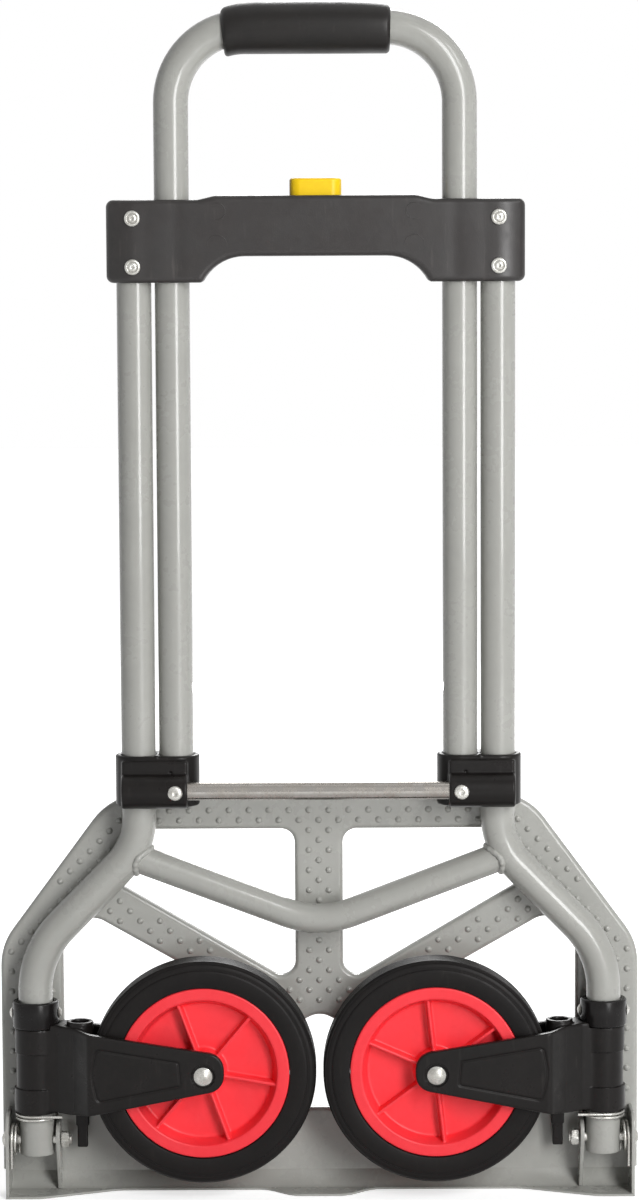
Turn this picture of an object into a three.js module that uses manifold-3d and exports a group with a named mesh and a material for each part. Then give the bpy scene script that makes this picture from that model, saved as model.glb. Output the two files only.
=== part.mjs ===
// Folding hand truck, folded flat and standing on its toe plate's bottom flange.
// Millimetres. Z is up, X runs across the truck, and the user's side, where the wheels lie, is -Y.
// The origin is on the floor, in the truck's middle plane and in the plane of the frame tubes.

import * as THREE from 'three';
import { mergeVertices } from 'three/addons/utils/BufferGeometryUtils.js';
import Module from 'manifold-3d';

const wasm = await Module();
wasm.setup();

// Steel tubes, shared by the frame and the handle
const tubeDiameter = 22;
const tubeWall = 1.5;
const tubePitch = 24;

// Frame tubes, from the top housing down to the legs
const frameHalfSpan = 114.3;
const frameTopHeight = 629;
const upperCornerHeight = 226.6;
const upperBendRadius = 45;
const legHalfSpan = 182;
const lowerCornerHeight = 157.6;
const lowerBendRadius = 60;
const legEndHeight = 27;

// Brace welded between the upper bends
const braceDiameter = 18.6;
const braceWall = 1.5;
const braceCornerDrop = 51.5;
const braceOverlap = 4;
const braceEndDrop = 6.7;
const braceBendRadius = 60;

// Handle tube and grip. The rise is measured from the top of the frame tubes.
const handleRise = 114;
const handleBendRadius = 46.5;
const handleEndHeight = 257.5;
const gripDiameter = 33;
const gripLength = 105;
const gripShift = -5.4;
const gripEndStep = 2.2;

// Carriages that join the handle tube to the frame tubes, and the bar between them
const carriageBottomHeight = 253.4;
const carriageHeight = 32.6;
const carriageWall = 3.4;
const carriagePadDepth = 17.5;
const carriagePadInnerMargin = 7.6;
const carriagePadOuterMargin = 10.1;
const carriagePadHeight = 30.1;
const carriagePadCorner = 4;
const bossRadius = 11;
const bossDepth = 16;
const barDiameter = 11.5;
const barWall = 1.5;
const barOverlap = 7.7;
const barDepth = 18.6;
const barSetback = 11.2;

// Screws through the carriages
const screwHeadDiameter = 9.4;
const screwHeadHeight = 2.2;
const screwShankDiameter = 4.8;
const screwLength = 19;

// Top housing. Its rises and drops are measured from the top of the frame tubes.
const housingSideMargin = 16.7;
const housingBottomDrop = 44.3;
const housingSideRise = 7.3;
const housingMidRise = 9.8;
const housingArchDrop = 28;
const housingArchFootInset = 43.3;
const housingArchCornerInset = 52;
const housingArchRadius = 30;
const housingRampOuterInset = 41.3;
const housingRampInnerInset = 51.8;
const housingDepth = 32;
const housingCorner = 4.5;
const housingBevel = 2;
const shellGap = 0.3;
const cavityEndWall = 8.95;
const cavityFloorDrop = 24.2;
const cavityTopRise = 5.6;
const cavityDepth = 23;
const rivetUpperDrop = 4.2;
const rivetLowerDrop = 34.4;
const rivetHeadDiameter = 10;
const rivetHeadHeight = 1.8;
const rivetShankDiameter = 5;

// Release button and lock bolts inside the housing
const buttonLength = 32.5;
const buttonWidth = 14;
const buttonCorner = 5;
const buttonRise = 20.5;
const buttonFlangeMargin = 2.2;
const buttonFlangeHeight = 3.6;
const buttonTravel = 5.5;
const webThickness = 3;
const webTopDrop = 1;
const webBottomDrop = 16;
const webGapHalf = 8;
const lockDrop = 11;
const lockPinInset = 44.3;
const lockPinDiameter = 3;
const lockPinMargin = 4.2;
const lockBlockInnerInset = 56.3;
const lockBlockOuterInset = 30.3;
const lockBlockHeight = 10;
const lockBlockDepth = 12;
const lockBoltDiameter = 8;
const lockTipGap = 0.7;
const handleTravel = 290;
const buttonSpringDiameter = 9.6;
const buttonSpringWire = 1.2;
const buttonSpringTurns = 7;

// Leg collars and their cross rivets
const collarDiameter = 29.6;
const collarBottomHeight = 110;
const collarHeight = 17;
const collarRivetHeight = 119;
const collarRivetHead = 7.6;
const collarRivetHeadHeight = 1.8;
const collarRivetShank = 4.2;

// Wheel forks: the sleeve round the leg and the two arms beside the wheel
const sleeveBottomHeight = 54.6;
const sleeveTopHeight = 109.6;
const sleeveTopDiameter = 27.2;
const sleeveMiddleDiameter = 25.6;
const sleeveBottomDiameter = 28.4;
const sleeveTopBand = 16;
const sleeveBottomBand = 16.2;
const armRootInset = 13.5;
const armShoulderInset = 16;
const armTopHeight = 113;
const armBottomHeight = 56;
const armEndRadius = 13.5;
const nearArmDepth = 33;
const armThickness = 5.5;
const farArmDepth = 7;
const yokeCorner = 9;
const yokeWeb = 6.5;
const pegInset = 29;
const pegWidth = 8.4;
const pegTipWidth = 6.6;
const pegStepHeight = 44;
const pegBottomHeight = 30;
const boltRecessDiameter = 15;
const boltRecessDepth = 1.2;

// Axle bolts
const axleHeight = 84;
const axleDiameter = 8;
const axleHeadDiameter = 11.2;
const axleHeadHeight = 3.4;
const axleNutAcross = 13;
const axleNutHeight = 4.6;
const axleTail = 1;

// Wheels
const wheelDiameter = 141;
const wheelWidth = 26;
const wheelPartingHalf = 3.5;
const tyreShoulder = 4;
const hubDiameter = 109;
const rimWidth = 7.6;
const rimDraft = 1;
const hubRimHalfWidth = 12;
const hubWebThickness = 4.4;
const ribThickness = 2.6;
const ribDepth = 8.4;
const ribCount = 6;
const bossDiameter = 31;
const leftWheelPhase = 50;
const rightWheelPhase = 36.5;

// Toe plate: its outline, from the middle plane outwards
const plateSideMargin = 4;
const plateTopHeight = 257.2;
const plateShoulderRadius = 41.5;
const plateElbowRadius = 40;
const plateDepth = 16;
const plateThickness = 1.6;
const plateRimDepth = 6.5;
const plateBendRadius = 9.6;
const topBarWidth = 22.9;
const postHalfWidth = 15.5;
const upperSpokeWidth = 24.6;
const upperSpokeSlope = 0.583;
const lowerSpokeWidth = 25.6;
const lowerSpokeSlope = 0.517;
const openingCorner = 9;
const apexCorner = 14;

// The bottom flange, deep at the corners and at the middle tongue
const flangeCornerDepth = 14;
const flangeCutDepth = 6;
const flangeTongueDepth = 10;
const flangeTongueHalf = 17.5;
const flangeTongueFootHalf = 34;
const flangeEdgeCorner = 1.2;

// Hinge: ears, lugs, bolts and springs
const hingeHeight = 36;
const hingeBoltDiameter = 7;
const hingeHeadDiameter = 12;
const hingeHeadHeight = 3;
const hingeNutAcross = 9.4;
const hingeNutHeight = 5.4;
const hingeBoltTail = 1.6;
const earGap = 6.5;
const earThickness = 2;
const earHeight = 53.5;
const earDepth = 12.6;
const earCorner = 10;
const lugThickness = 2.5;
const lugGap = 1.5;
const lugFront = 9.6;
const lugCorner = 9;
const lugHeight = 47.5;
const lugFootDepth = 6;
const toeSpringDiameter = 21;
const toeSpringWire = 1.8;
const toeSpringTurns = 1.5;
const toeSpringPitch = 2.3;
const toeSpringLeg = 17;
const toeSpringShortLeg = 11;
const forkSpringWire = 1.8;
const forkSpringTurns = 1.5;
const forkSpringPitch = 2.3;
const forkSpringLeg = 17;
const forkSpringShortLeg = 6;

// Clearances
const fitGap = 0.3;
const slideGap = 0.35;
const holeGap = 0.3;
const overrun = 2;

// Counts of facets
const tubeSides = 16;
const bendSteps = 5;
const wheelSides = 36;
const fastenerSides = 12;
const wireSides = 5;
const curlSteps = 8;
const cornerStep = Math.PI / 10;

// Proportions
const shoulderWidthShare = 0.6462;
const shoulderBarShare = 0.1557;
const sideBarShare = 0.1971;
const spokeRoundShare = 0.54;
const elbowHeightShare = 0.6182;
const upperHubHeightShare = 0.514;
const lowerHubHeightShare = 0.5572;
const bandHeightShare = 0.2014;
const flangeCornerShare = 0.8834;
const flangeStepShare = 0.6452;
const mergeShare = 1e-4;
const roundShare = 0.98;
const domeShares = [
  [1, 0.35],
  [0.82, 0.78],
  [0.5, 1],
];

// Finishes
const paintedSteel = () =>
  new THREE.MeshStandardMaterial({ color: 0x9ea09c, roughness: 0.34, metalness: 0.15 });
const blackPlastic = () => new THREE.MeshStandardMaterial({ color: 0x2b2927, roughness: 0.5, metalness: 0 });
const blackRubber = () => new THREE.MeshStandardMaterial({ color: 0x242322, roughness: 0.72, metalness: 0 });
const redPlastic = () => new THREE.MeshStandardMaterial({ color: 0xe12f36, roughness: 0.42, metalness: 0 });
const yellowPlastic = () =>
  new THREE.MeshStandardMaterial({ color: 0xf2c81e, roughness: 0.42, metalness: 0 });
const zincSteel = () => new THREE.MeshStandardMaterial({ color: 0xc4c4c0, roughness: 0.3, metalness: 0.9 });
const chromedSteel = () => new THREE.MeshStandardMaterial({ color: 0xd6d4d2, roughness: 0.12, metalness: 1 });

// A closed geometry becomes a solid that can be joined and cut
function solid(geometry) {
  const bare = geometry.clone();
  bare.deleteAttribute('normal');
  bare.deleteAttribute('uv');
  const merged = mergeVertices(bare, tubeWall * mergeShare);
  const corners = merged.index.array;
  const kept = [];
  for (let i = 0; i < corners.length; i += 3) {
    const [a, b, c] = [corners[i], corners[i + 1], corners[i + 2]];
    if (a !== b && b !== c && c !== a) kept.push(a, b, c);
  }
  return new wasm.Manifold(new wasm.Mesh({
    numProp: 3,
    vertProperties: new Float32Array(merged.attributes.position.array),
    triVerts: new Uint32Array(kept),
  }));
}

// A solid goes back to a geometry
function surface(body) {
  const mesh = body.getMesh();
  const geometry = new THREE.BufferGeometry();
  geometry.setAttribute('position', new THREE.BufferAttribute(new Float32Array(mesh.vertProperties), 3));
  geometry.setIndex(new THREE.BufferAttribute(new Uint32Array(mesh.triVerts), 1));
  return geometry;
}

const joined = (first, ...rest) => rest.reduce((sum, next) => sum.add(solid(next)), solid(first));
const cut = (body, ...tools) => tools.reduce((left, tool) => left.subtract(solid(tool)), body);

// A right-hand piece made into its left-hand twin, with its faces still pointing out
function mirrored(geometry) {
  const twin = geometry.clone();
  twin.scale(-1, 1, 1);
  const index = twin.index.array;
  for (let i = 0; i < index.length; i += 3) [index[i], index[i + 1]] = [index[i + 1], index[i]];
  return twin;
}

// Outline helpers. A corner is [across, up, radius], and the corners run anticlockwise.
function roundedPoints(corners) {
  const points = [];
  corners.forEach(([x, y, radius = 0], i) => {
    const corner = new THREE.Vector2(x, y);
    const before = new THREE.Vector2(...corners[(i + corners.length - 1) % corners.length])
      .sub(corner)
      .normalize();
    const after = new THREE.Vector2(...corners[(i + 1) % corners.length]).sub(corner).normalize();
    const turn = Math.PI - Math.acos(THREE.MathUtils.clamp(before.dot(after), -1, 1));
    if (radius <= 0 || turn < cornerStep / 4) {
      points.push(corner);
      return;
    }
    const start = corner.clone().addScaledVector(before, radius * Math.tan(turn / 2));
    const middle = before.clone().add(after).normalize();
    const centre = corner.clone().addScaledVector(middle, radius / Math.cos(turn / 2));
    const sweep = Math.sign(after.cross(before)) * turn;
    const steps = Math.max(1, Math.ceil(turn / cornerStep));
    for (let k = 0; k <= steps; k++) points.push(start.clone().rotateAround(centre, (sweep * k) / steps));
  });
  return points;
}

const rounded = (corners) => new THREE.Shape(roundedPoints(corners));

// The same outline moved inwards by a distance, or outwards by a negative one
function offsetCorners(corners, distance) {
  const count = corners.length;
  return corners.map(([x, y, radius = 0], i) => {
    const corner = new THREE.Vector2(x, y);
    const into = corner.clone().sub(new THREE.Vector2(...corners[(i + count - 1) % count])).normalize();
    const out = new THREE.Vector2(...corners[(i + 1) % count]).sub(corner).normalize();
    const turn = Math.atan2(into.cross(out), into.dot(out));
    const miter = distance * Math.tan(turn / 2);
    const moved = corner.clone().addScaledVector(into, -miter);
    moved.add(new THREE.Vector2(-into.y, into.x).multiplyScalar(distance));
    return [moved.x, moved.y, radius > 0 ? Math.max(0, radius - distance * Math.sign(turn)) : 0];
  });
}

function ring(radius, sides = tubeSides) {
  return new THREE.Shape(Array.from({ length: sides }, (_, i) => {
    const angle = (2 * Math.PI * i) / sides;
    return new THREE.Vector2(radius * Math.cos(angle), radius * Math.sin(angle));
  }));
}

// Extrusions between two planes square to X, Y or Z
function extruded(shape, length, bevel = 0) {
  return new THREE.ExtrudeGeometry(shape, {
    depth: length - 2 * bevel,
    bevelEnabled: bevel > 0,
    bevelThickness: bevel,
    bevelSize: bevel,
    bevelOffset: -bevel,
    bevelSegments: 2,
  }).translate(0, 0, bevel);
}

const alongZ = (shape, low, high, bevel) => extruded(shape, high - low, bevel).translate(0, 0, low);

const alongY = (shape, near, far, bevel) =>
  extruded(shape, far - near, bevel).rotateX(Math.PI / 2).translate(0, far, 0);

// Turns X to Y, Y to Z and Z to X
const endOn = new THREE.Matrix4().makeBasis(
  new THREE.Vector3(0, 1, 0),
  new THREE.Vector3(0, 0, 1),
  new THREE.Vector3(1, 0, 0),
);

const alongX = (shape, left, right) =>
  extruded(shape, right - left).applyMatrix4(endOn).translate(left, 0, 0);

const block = (x0, x1, y0, y1, z0, z1) =>
  new THREE.BoxGeometry(x1 - x0, y1 - y0, z1 - z0).translate((x0 + x1) / 2, (y0 + y1) / 2, (z0 + z1) / 2);

const rodX = (radius, left, right, y, z, sides) =>
  alongX(ring(radius, sides), left, right).translate(0, y, z);
const rodY = (radius, near, far, x, z, sides) => alongY(ring(radius, sides), near, far).translate(x, 0, z);
const rodZ = (radius, low, high, x, y, sides) => alongZ(ring(radius, sides), low, high).translate(x, y, 0);

// A low domed head on a fastener, as a turned profile along Z, standing on its flat face
function domeHead(radius, height) {
  const profile = [
    new THREE.Vector2(0, 0),
    new THREE.Vector2(radius, 0),
    ...domeShares.map(([out, up]) => new THREE.Vector2(radius * out, height * up)),
    new THREE.Vector2(0, height),
  ];
  return new THREE.LatheGeometry(profile, fastenerSides).rotateX(Math.PI / 2);
}

// Paths: straight runs joined by round bends
function bentPath(corners, radii) {
  const pieces = [];
  let from = corners[0];
  for (let i = 1; i < corners.length - 1; i++) {
    const into = corners[i].clone().sub(corners[i - 1]).normalize();
    const out = corners[i + 1].clone().sub(corners[i]).normalize();
    const turn = into.angleTo(out);
    const radius = radii[i - 1];
    const start = corners[i].clone().addScaledVector(into, -radius * Math.tan(turn / 2));
    const inward = out.clone().addScaledVector(into, -Math.cos(turn)).normalize();
    const centre = start.clone().addScaledVector(inward, radius);
    pieces.push(straightRun(from, start));
    pieces.push({
      length: radius * turn,
      bent: true,
      at: (s) => ({
        point: centre.clone()
          .addScaledVector(inward, -radius * Math.cos(s / radius))
          .addScaledVector(into, radius * Math.sin(s / radius)),
        tangent: into.clone().multiplyScalar(Math.cos(s / radius))
          .addScaledVector(inward, Math.sin(s / radius)),
      }),
    });
    from = centre.clone()
      .addScaledVector(inward, -radius * Math.cos(turn))
      .addScaledVector(into, radius * Math.sin(turn));
  }
  pieces.push(straightRun(from, corners[corners.length - 1]));
  return pieces;
}

function straightRun(from, to) {
  const tangent = to.clone().sub(from).normalize();
  return {
    length: from.distanceTo(to),
    bent: false,
    at: (s) => ({ point: from.clone().addScaledVector(tangent, s), tangent }),
  };
}

const pathLength = (pieces) => pieces.reduce((sum, piece) => sum + piece.length, 0);

// The places along a path where a tube gets a ring, from one length along it to another
function stationsAlong(pieces, from = 0, to = pathLength(pieces)) {
  const stations = [];
  let passed = 0;
  for (const piece of pieces) {
    const start = Math.max(from - passed, 0);
    const end = Math.min(to - passed, piece.length);
    if (end > start) {
      const steps = piece.bent ? Math.max(1, Math.ceil((bendSteps * (end - start)) / piece.length)) : 1;
      for (let k = stations.length ? 1 : 0; k <= steps; k++) {
        stations.push(piece.at(start + ((end - start) * k) / steps));
      }
    }
    passed += piece.length;
  }
  return stations;
}

class StationPath extends THREE.Curve {
  constructor(stations) {
    super();
    this.stations = stations;
  }

  stationAt(u) {
    return this.stations[Math.round(u * (this.stations.length - 1))];
  }

  getPoint(u) {
    return this.stationAt(u).point.clone();
  }

  getPointAt(u) {
    return this.getPoint(u);
  }

  getTangentAt(u) {
    return this.stationAt(u).tangent.clone();
  }
}

const sweep = (shape, stations) =>
  new THREE.ExtrudeGeometry(shape, {
    steps: stations.length - 1,
    bevelEnabled: false,
    extrudePath: new StationPath(stations),
  });

// The stations with both ends moved out along the path
function lengthened(stations, extra) {
  const longer = stations.map(({ point, tangent }) => ({ point: point.clone(), tangent: tangent.clone() }));
  const [first, last] = [longer[0], longer[longer.length - 1]];
  first.point.addScaledVector(first.tangent, -extra);
  last.point.addScaledVector(last.tangent, extra);
  return longer;
}

// A hole or a helix is cut by flats, so its radius grows until they too clear a round piece that turns in it
const clearOf = (radius, sides) => (radius + slideGap) / Math.cos(Math.PI / sides);

const hollowTube = (stations, radius, wall) =>
  cut(solid(sweep(ring(radius), stations)), sweep(ring(radius - wall), lengthened(stations, overrun)));

// Springs: a helix about Z with straight ends, as one unbroken wire
function springStations(radius, turns, pitch, firstEnd, lastEnd, firstAngle = 0) {
  const stations = [];
  const steps = Math.round(turns * curlSteps);
  for (let k = 0; k <= steps; k++) {
    const angle = firstAngle + (2 * Math.PI * turns * k) / steps;
    const rise = (pitch * turns * k) / steps;
    const point = new THREE.Vector3(radius * Math.cos(angle), radius * Math.sin(angle), rise);
    const climb = pitch / (2 * Math.PI);
    const tangent = new THREE.Vector3(-radius * Math.sin(angle), radius * Math.cos(angle), climb);
    stations.push({ point, tangent: tangent.normalize() });
  }
  const ends = (station, distance) => {
    const flat = new THREE.Vector3(station.tangent.x, station.tangent.y, 0).normalize();
    return { point: station.point.clone().addScaledVector(flat, distance), tangent: flat };
  };
  return [ends(stations[0], -firstEnd), ...stations, ends(stations[steps], lastEnd)];
}

// The least gap between parts of one wire that lie more than half a curl apart, printed for each spring
function reportWireGap(name, stations, wire, radius) {
  const dense = [];
  for (let i = 0; i + 1 < stations.length; i++) {
    const [a, b] = [stations[i].point, stations[i + 1].point];
    const steps = Math.ceil(a.distanceTo(b) / wire);
    for (let k = 0; k < steps; k++) dense.push(a.clone().lerp(b, k / steps));
  }
  const skipped = Math.round((Math.PI * radius) / wire);
  let least = Infinity;
  for (let i = 0; i < dense.length; i++) {
    for (let j = i + skipped; j < dense.length; j++) {
      least = Math.min(least, dense[i].distanceTo(dense[j]) - wire);
    }
  }
  console.log(`${name}: least gap of the wire to itself ${least.toFixed(2)} mm`);
}

function spring(name, wire, radius, stations) {
  reportWireGap(name, stations, wire, radius);
  return sweep(ring(wire / 2, wireSides), stations);
}

// The exported group, and the way a piece is added to a part of it
const handTruck = new THREE.Group();

function addPiece(parent, name, shape, material) {
  const geometry = shape.isBufferGeometry ? surface(solid(shape)) : surface(shape);
  const mesh = new THREE.Mesh(geometry, material());
  mesh.name = name;
  parent.add(mesh);
  return mesh;
}

// A piece on the left at -X and its mirrored twin on the right at +X
function addPair(parent, name, shape, material, halfSpan = 0) {
  const right = shape.isBufferGeometry ? surface(solid(shape)) : surface(shape);
  const pieces = [
    ['left', mirrored(right), -halfSpan],
    ['right', right, halfSpan],
  ];
  for (const [side, geometry, x] of pieces) {
    const mesh = new THREE.Mesh(geometry, material());
    mesh.name = `${name}_${side}`;
    mesh.position.x = x;
    parent.add(mesh);
  }
}

const tubeRadius = tubeDiameter / 2;
const handleHalfSpan = frameHalfSpan - tubePitch;
const handleTopHeight = frameTopHeight + handleRise;
const slideRadius = tubeRadius + slideGap;
const seatRadius = tubeRadius + fitGap;
const point = (x, z) => new THREE.Vector3(x, 0, z);

// Frame
const frame = new THREE.Group();
handTruck.add(frame);

const framePath = bentPath(
  [
    point(legHalfSpan, legEndHeight),
    point(legHalfSpan, lowerCornerHeight),
    point(frameHalfSpan, upperCornerHeight),
    point(frameHalfSpan, frameTopHeight),
  ],
  [lowerBendRadius, upperBendRadius],
);
const frameStations = stationsAlong(framePath);

const rivetHeights = { upper: frameTopHeight - rivetUpperDrop, lower: frameTopHeight - rivetLowerDrop };
const rivetHole = rivetShankDiameter / 2 + holeGap;
const collarRivetHole = collarRivetShank / 2 + holeGap;
const hingeHole = clearOf(hingeBoltDiameter / 2, fastenerSides);

const frameTube = cut(
  hollowTube(frameStations, tubeRadius, tubeWall),
  ...Object.values(rivetHeights).map((height) =>
    rodY(rivetHole, -tubeDiameter, tubeDiameter, frameHalfSpan, height, fastenerSides)),
  rodX(
    collarRivetHole, legHalfSpan - tubeDiameter, legHalfSpan + tubeDiameter,
    0, collarRivetHeight, fastenerSides,
  ),
  rodX(hingeHole, legHalfSpan - tubeDiameter, legHalfSpan + tubeDiameter, 0, hingeHeight, fastenerSides),
);
addPair(frame, 'frame_tube', frameTube, paintedSteel);

// The brace's ends are coped round the frame tubes
const braceReach = frameHalfSpan + braceOverlap;
const braceEndHeight = upperCornerHeight - braceEndDrop;
const braceCornerHeight = upperCornerHeight - braceCornerDrop;
const bracePath = bentPath(
  [point(-braceReach, braceEndHeight), point(0, braceCornerHeight), point(braceReach, braceEndHeight)],
  [braceBendRadius],
);
const copeRight = sweep(ring(tubeRadius + fitGap), frameStations);
const brace = cut(
  hollowTube(stationsAlong(bracePath), braceDiameter / 2, braceWall),
  copeRight,
  mirrored(surface(solid(copeRight))),
);
addPiece(frame, 'v_brace', brace, paintedSteel);

// Top housing, cut into a front and a rear shell in the plane of the tubes
const housing = new THREE.Group();
handTruck.add(housing);

const housingHalfWidth = frameHalfSpan + housingSideMargin;
const housingBottomHeight = frameTopHeight - housingBottomDrop;
const housingSideTopHeight = frameTopHeight + housingSideRise;
const housingMidTopHeight = frameTopHeight + housingMidRise;
const housingRight = [
  [frameHalfSpan - housingArchCornerInset, frameTopHeight - housingArchDrop, housingArchRadius],
  [frameHalfSpan - housingArchFootInset, housingBottomHeight, 0],
  [housingHalfWidth, housingBottomHeight, housingCorner],
  [housingHalfWidth, housingSideTopHeight, housingCorner],
  [frameHalfSpan - housingRampOuterInset, housingSideTopHeight, housingCorner],
  [frameHalfSpan - housingRampInnerInset, housingMidTopHeight, housingCorner],
];
const otherSide = (corners) => corners.map(([x, y, radius]) => [-x, y, radius]).reverse();
const housingBlock = alongY(
  rounded([...housingRight, ...otherSide(housingRight)]),
  -housingDepth / 2,
  housingDepth / 2,
  housingBevel,
);

const sides = [-1, 1];
const housingTools = sides.flatMap((side) => [
  rodZ(seatRadius, housingBottomHeight - overrun, frameTopHeight + fitGap, side * frameHalfSpan, 0),
  rodZ(slideRadius, housingBottomHeight - overrun, housingMidTopHeight + overrun, side * handleHalfSpan, 0),
  ...Object.values(rivetHeights).map((height) =>
    rodY(rivetHole, -housingDepth, housingDepth, side * frameHalfSpan, height, fastenerSides)),
]);
const buttonOutline = (margin) =>
  rounded([
    [-buttonLength / 2 - margin, -buttonWidth / 2 - margin, buttonCorner + margin],
    [buttonLength / 2 + margin, -buttonWidth / 2 - margin, buttonCorner + margin],
    [buttonLength / 2 + margin, buttonWidth / 2 + margin, buttonCorner + margin],
    [-buttonLength / 2 - margin, buttonWidth / 2 + margin, buttonCorner + margin],
  ]);
const lockBore = lockBoltDiameter / 2 + slideGap;
const lockHeight = frameTopHeight - lockDrop;
const cavityFloorHeight = frameTopHeight - cavityFloorDrop;
const cavityTopHeight = frameTopHeight + cavityTopRise;
const cavityHalfLength = handleHalfSpan - tubeRadius - slideGap - cavityEndWall;
const housingBody = cut(
  solid(housingBlock),
  ...housingTools,
  block(
    -cavityHalfLength, cavityHalfLength,
    -cavityDepth / 2, cavityDepth / 2,
    cavityFloorHeight, cavityTopHeight,
  ),
  alongZ(buttonOutline(slideGap), cavityTopHeight - overrun, housingMidTopHeight + overrun),
  rodX(lockBore, -handleHalfSpan, handleHalfSpan, 0, lockHeight, fastenerSides),
);

const roomAcross = housingHalfWidth + overrun;
const halfSpace = (near, far) =>
  block(-roomAcross, roomAcross, near, far, housingBottomHeight - overrun, housingMidTopHeight + overrun);
const frontHalf = halfSpace(-housingDepth, -shellGap / 2);
const rearHalf = halfSpace(shellGap / 2, housingDepth);
addPiece(housing, 'housing_front', housingBody.intersect(solid(frontHalf)), blackPlastic);
addPiece(housing, 'housing_rear', housingBody.intersect(solid(rearHalf)), blackPlastic);

// Rivets with a head on each face of the housing
const headOut = housingDepth / 2 + fitGap;
const rivetReach = headOut + rivetHeadHeight / 2;
for (const [place, height] of Object.entries(rivetHeights)) {
  const rivet = joined(
    rodY(rivetShankDiameter / 2, -rivetReach, rivetReach, frameHalfSpan, height, fastenerSides),
    domeHead(rivetHeadDiameter / 2, rivetHeadHeight).rotateX(Math.PI / 2)
      .translate(frameHalfSpan, -headOut, height),
    domeHead(rivetHeadDiameter / 2, rivetHeadHeight).rotateX(-Math.PI / 2)
      .translate(frameHalfSpan, headOut, height),
  );
  addPair(housing, `housing_rivet_${place}`, rivet, zincSteel);
}

// Release button: cap, hidden flange and a web with a sloped slot on each side
const flangeTop = cavityTopHeight - fitGap;
const slotHalf = lockPinDiameter / 2 + slideGap;
const lockPinHalf = handleHalfSpan - lockPinInset;
const webHalfLength = lockPinHalf + lockPinMargin;
const webTopHeight = frameTopHeight - webTopDrop;
const webBottomHeight = frameTopHeight - webBottomDrop;
const webRight = [
  [webGapHalf, webBottomHeight],
  [webHalfLength, webBottomHeight],
  [webHalfLength, webTopHeight],
  [buttonLength / 2, webTopHeight],
  [buttonLength / 2, flangeTop - buttonFlangeHeight / 2],
  [webGapHalf, flangeTop - buttonFlangeHeight / 2],
];
const webShape = rounded(webRight);
const slotShape = rounded([
  [lockPinHalf, lockHeight - slotHalf * Math.SQRT2],
  [lockPinHalf + slotHalf * Math.SQRT2, lockHeight],
  [lockPinHalf - buttonTravel, lockHeight + buttonTravel + slotHalf * Math.SQRT2],
  [lockPinHalf - buttonTravel - slotHalf * Math.SQRT2, lockHeight + buttonTravel],
]);
const webSide = cut(
  solid(alongY(webShape, -webThickness / 2, webThickness / 2)),
  alongY(slotShape, -webThickness, webThickness),
);
const buttonTopHeight = frameTopHeight + buttonRise;
const button = solid(alongZ(buttonOutline(0), flangeTop - fitGap, buttonTopHeight, buttonFlangeMargin / 2))
  .add(solid(alongZ(buttonOutline(buttonFlangeMargin), flangeTop - buttonFlangeHeight, flangeTop)))
  .add(webSide)
  .add(solid(mirrored(surface(webSide))));
addPiece(housing, 'release_button', button, yellowPlastic);

const buttonSpringRadius = (buttonSpringDiameter - buttonSpringWire) / 2;
const buttonSpringRoom = flangeTop - buttonFlangeHeight - cavityFloorHeight - 2 * fitGap - buttonSpringWire;
const buttonSpringPitch = buttonSpringRoom / buttonSpringTurns;
const buttonSpring = spring(
  'button_spring',
  buttonSpringWire,
  buttonSpringRadius,
  springStations(buttonSpringRadius, buttonSpringTurns, buttonSpringPitch, buttonSpringWire, buttonSpringWire),
).translate(0, 0, cavityFloorHeight + fitGap + buttonSpringWire / 2);
addPiece(housing, 'button_spring', buttonSpring, zincSteel);

// Lock bolts: a round nose towards the handle tube, and cheeks with a cross pin on both sides of the web
const boltTip = handleHalfSpan - tubeRadius - lockTipGap;
const lockBlockInnerEnd = handleHalfSpan - lockBlockInnerInset;
const lockBlockOuterEnd = handleHalfSpan - lockBlockOuterInset;
const cheekGap = webThickness / 2 + slideGap;
const lockBlock = block(
  lockBlockInnerEnd, lockBlockOuterEnd,
  -lockBlockDepth / 2, lockBlockDepth / 2,
  lockHeight - lockBlockHeight / 2, lockHeight + lockBlockHeight / 2,
);
const webRoom = block(
  lockBlockInnerEnd - overrun, webHalfLength + buttonTravel + slideGap,
  -cheekGap, cheekGap,
  lockHeight - lockBlockHeight, lockHeight + lockBlockHeight,
);
const lockBolt = cut(solid(lockBlock), webRoom)
  .add(solid(rodX(lockBoltDiameter / 2, lockBlockOuterEnd - overrun, boltTip, 0, lockHeight, fastenerSides)))
  .add(solid(rodY(
    lockPinDiameter / 2, -lockBlockDepth / 2, lockBlockDepth / 2, lockPinHalf, lockHeight, fastenerSides,
  )));
addPair(housing, 'lock_bolt', lockBolt, zincSteel);

// Handle tube, with holes for the lock bolts at both ends of its travel
const handle = new THREE.Group();
handTruck.add(handle);

const handlePath = bentPath(
  [
    point(-handleHalfSpan, handleEndHeight),
    point(-handleHalfSpan, handleTopHeight),
    point(handleHalfSpan, handleTopHeight),
    point(handleHalfSpan, handleEndHeight),
  ],
  [handleBendRadius, handleBendRadius],
);
const barHeight = carriageBottomHeight + barSetback;
const screwHole = screwShankDiameter / 2 + holeGap;
const lockHoles = sides.flatMap((side) =>
  [lockHeight, lockHeight - handleTravel].map((height) =>
    rodX(
      lockBore, Math.min(0, side * handleHalfSpan), Math.max(0, side * handleHalfSpan),
      0, height, fastenerSides,
    )));
const handleTube = cut(
  hollowTube(stationsAlong(handlePath), tubeRadius, tubeWall),
  ...lockHoles,
  ...sides.map((side) => rodY(screwHole, -tubeDiameter, 0, side * handleHalfSpan, barHeight, fastenerSides)),
);
addPiece(handle, 'handle_tube', handleTube, paintedSteel);

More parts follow.
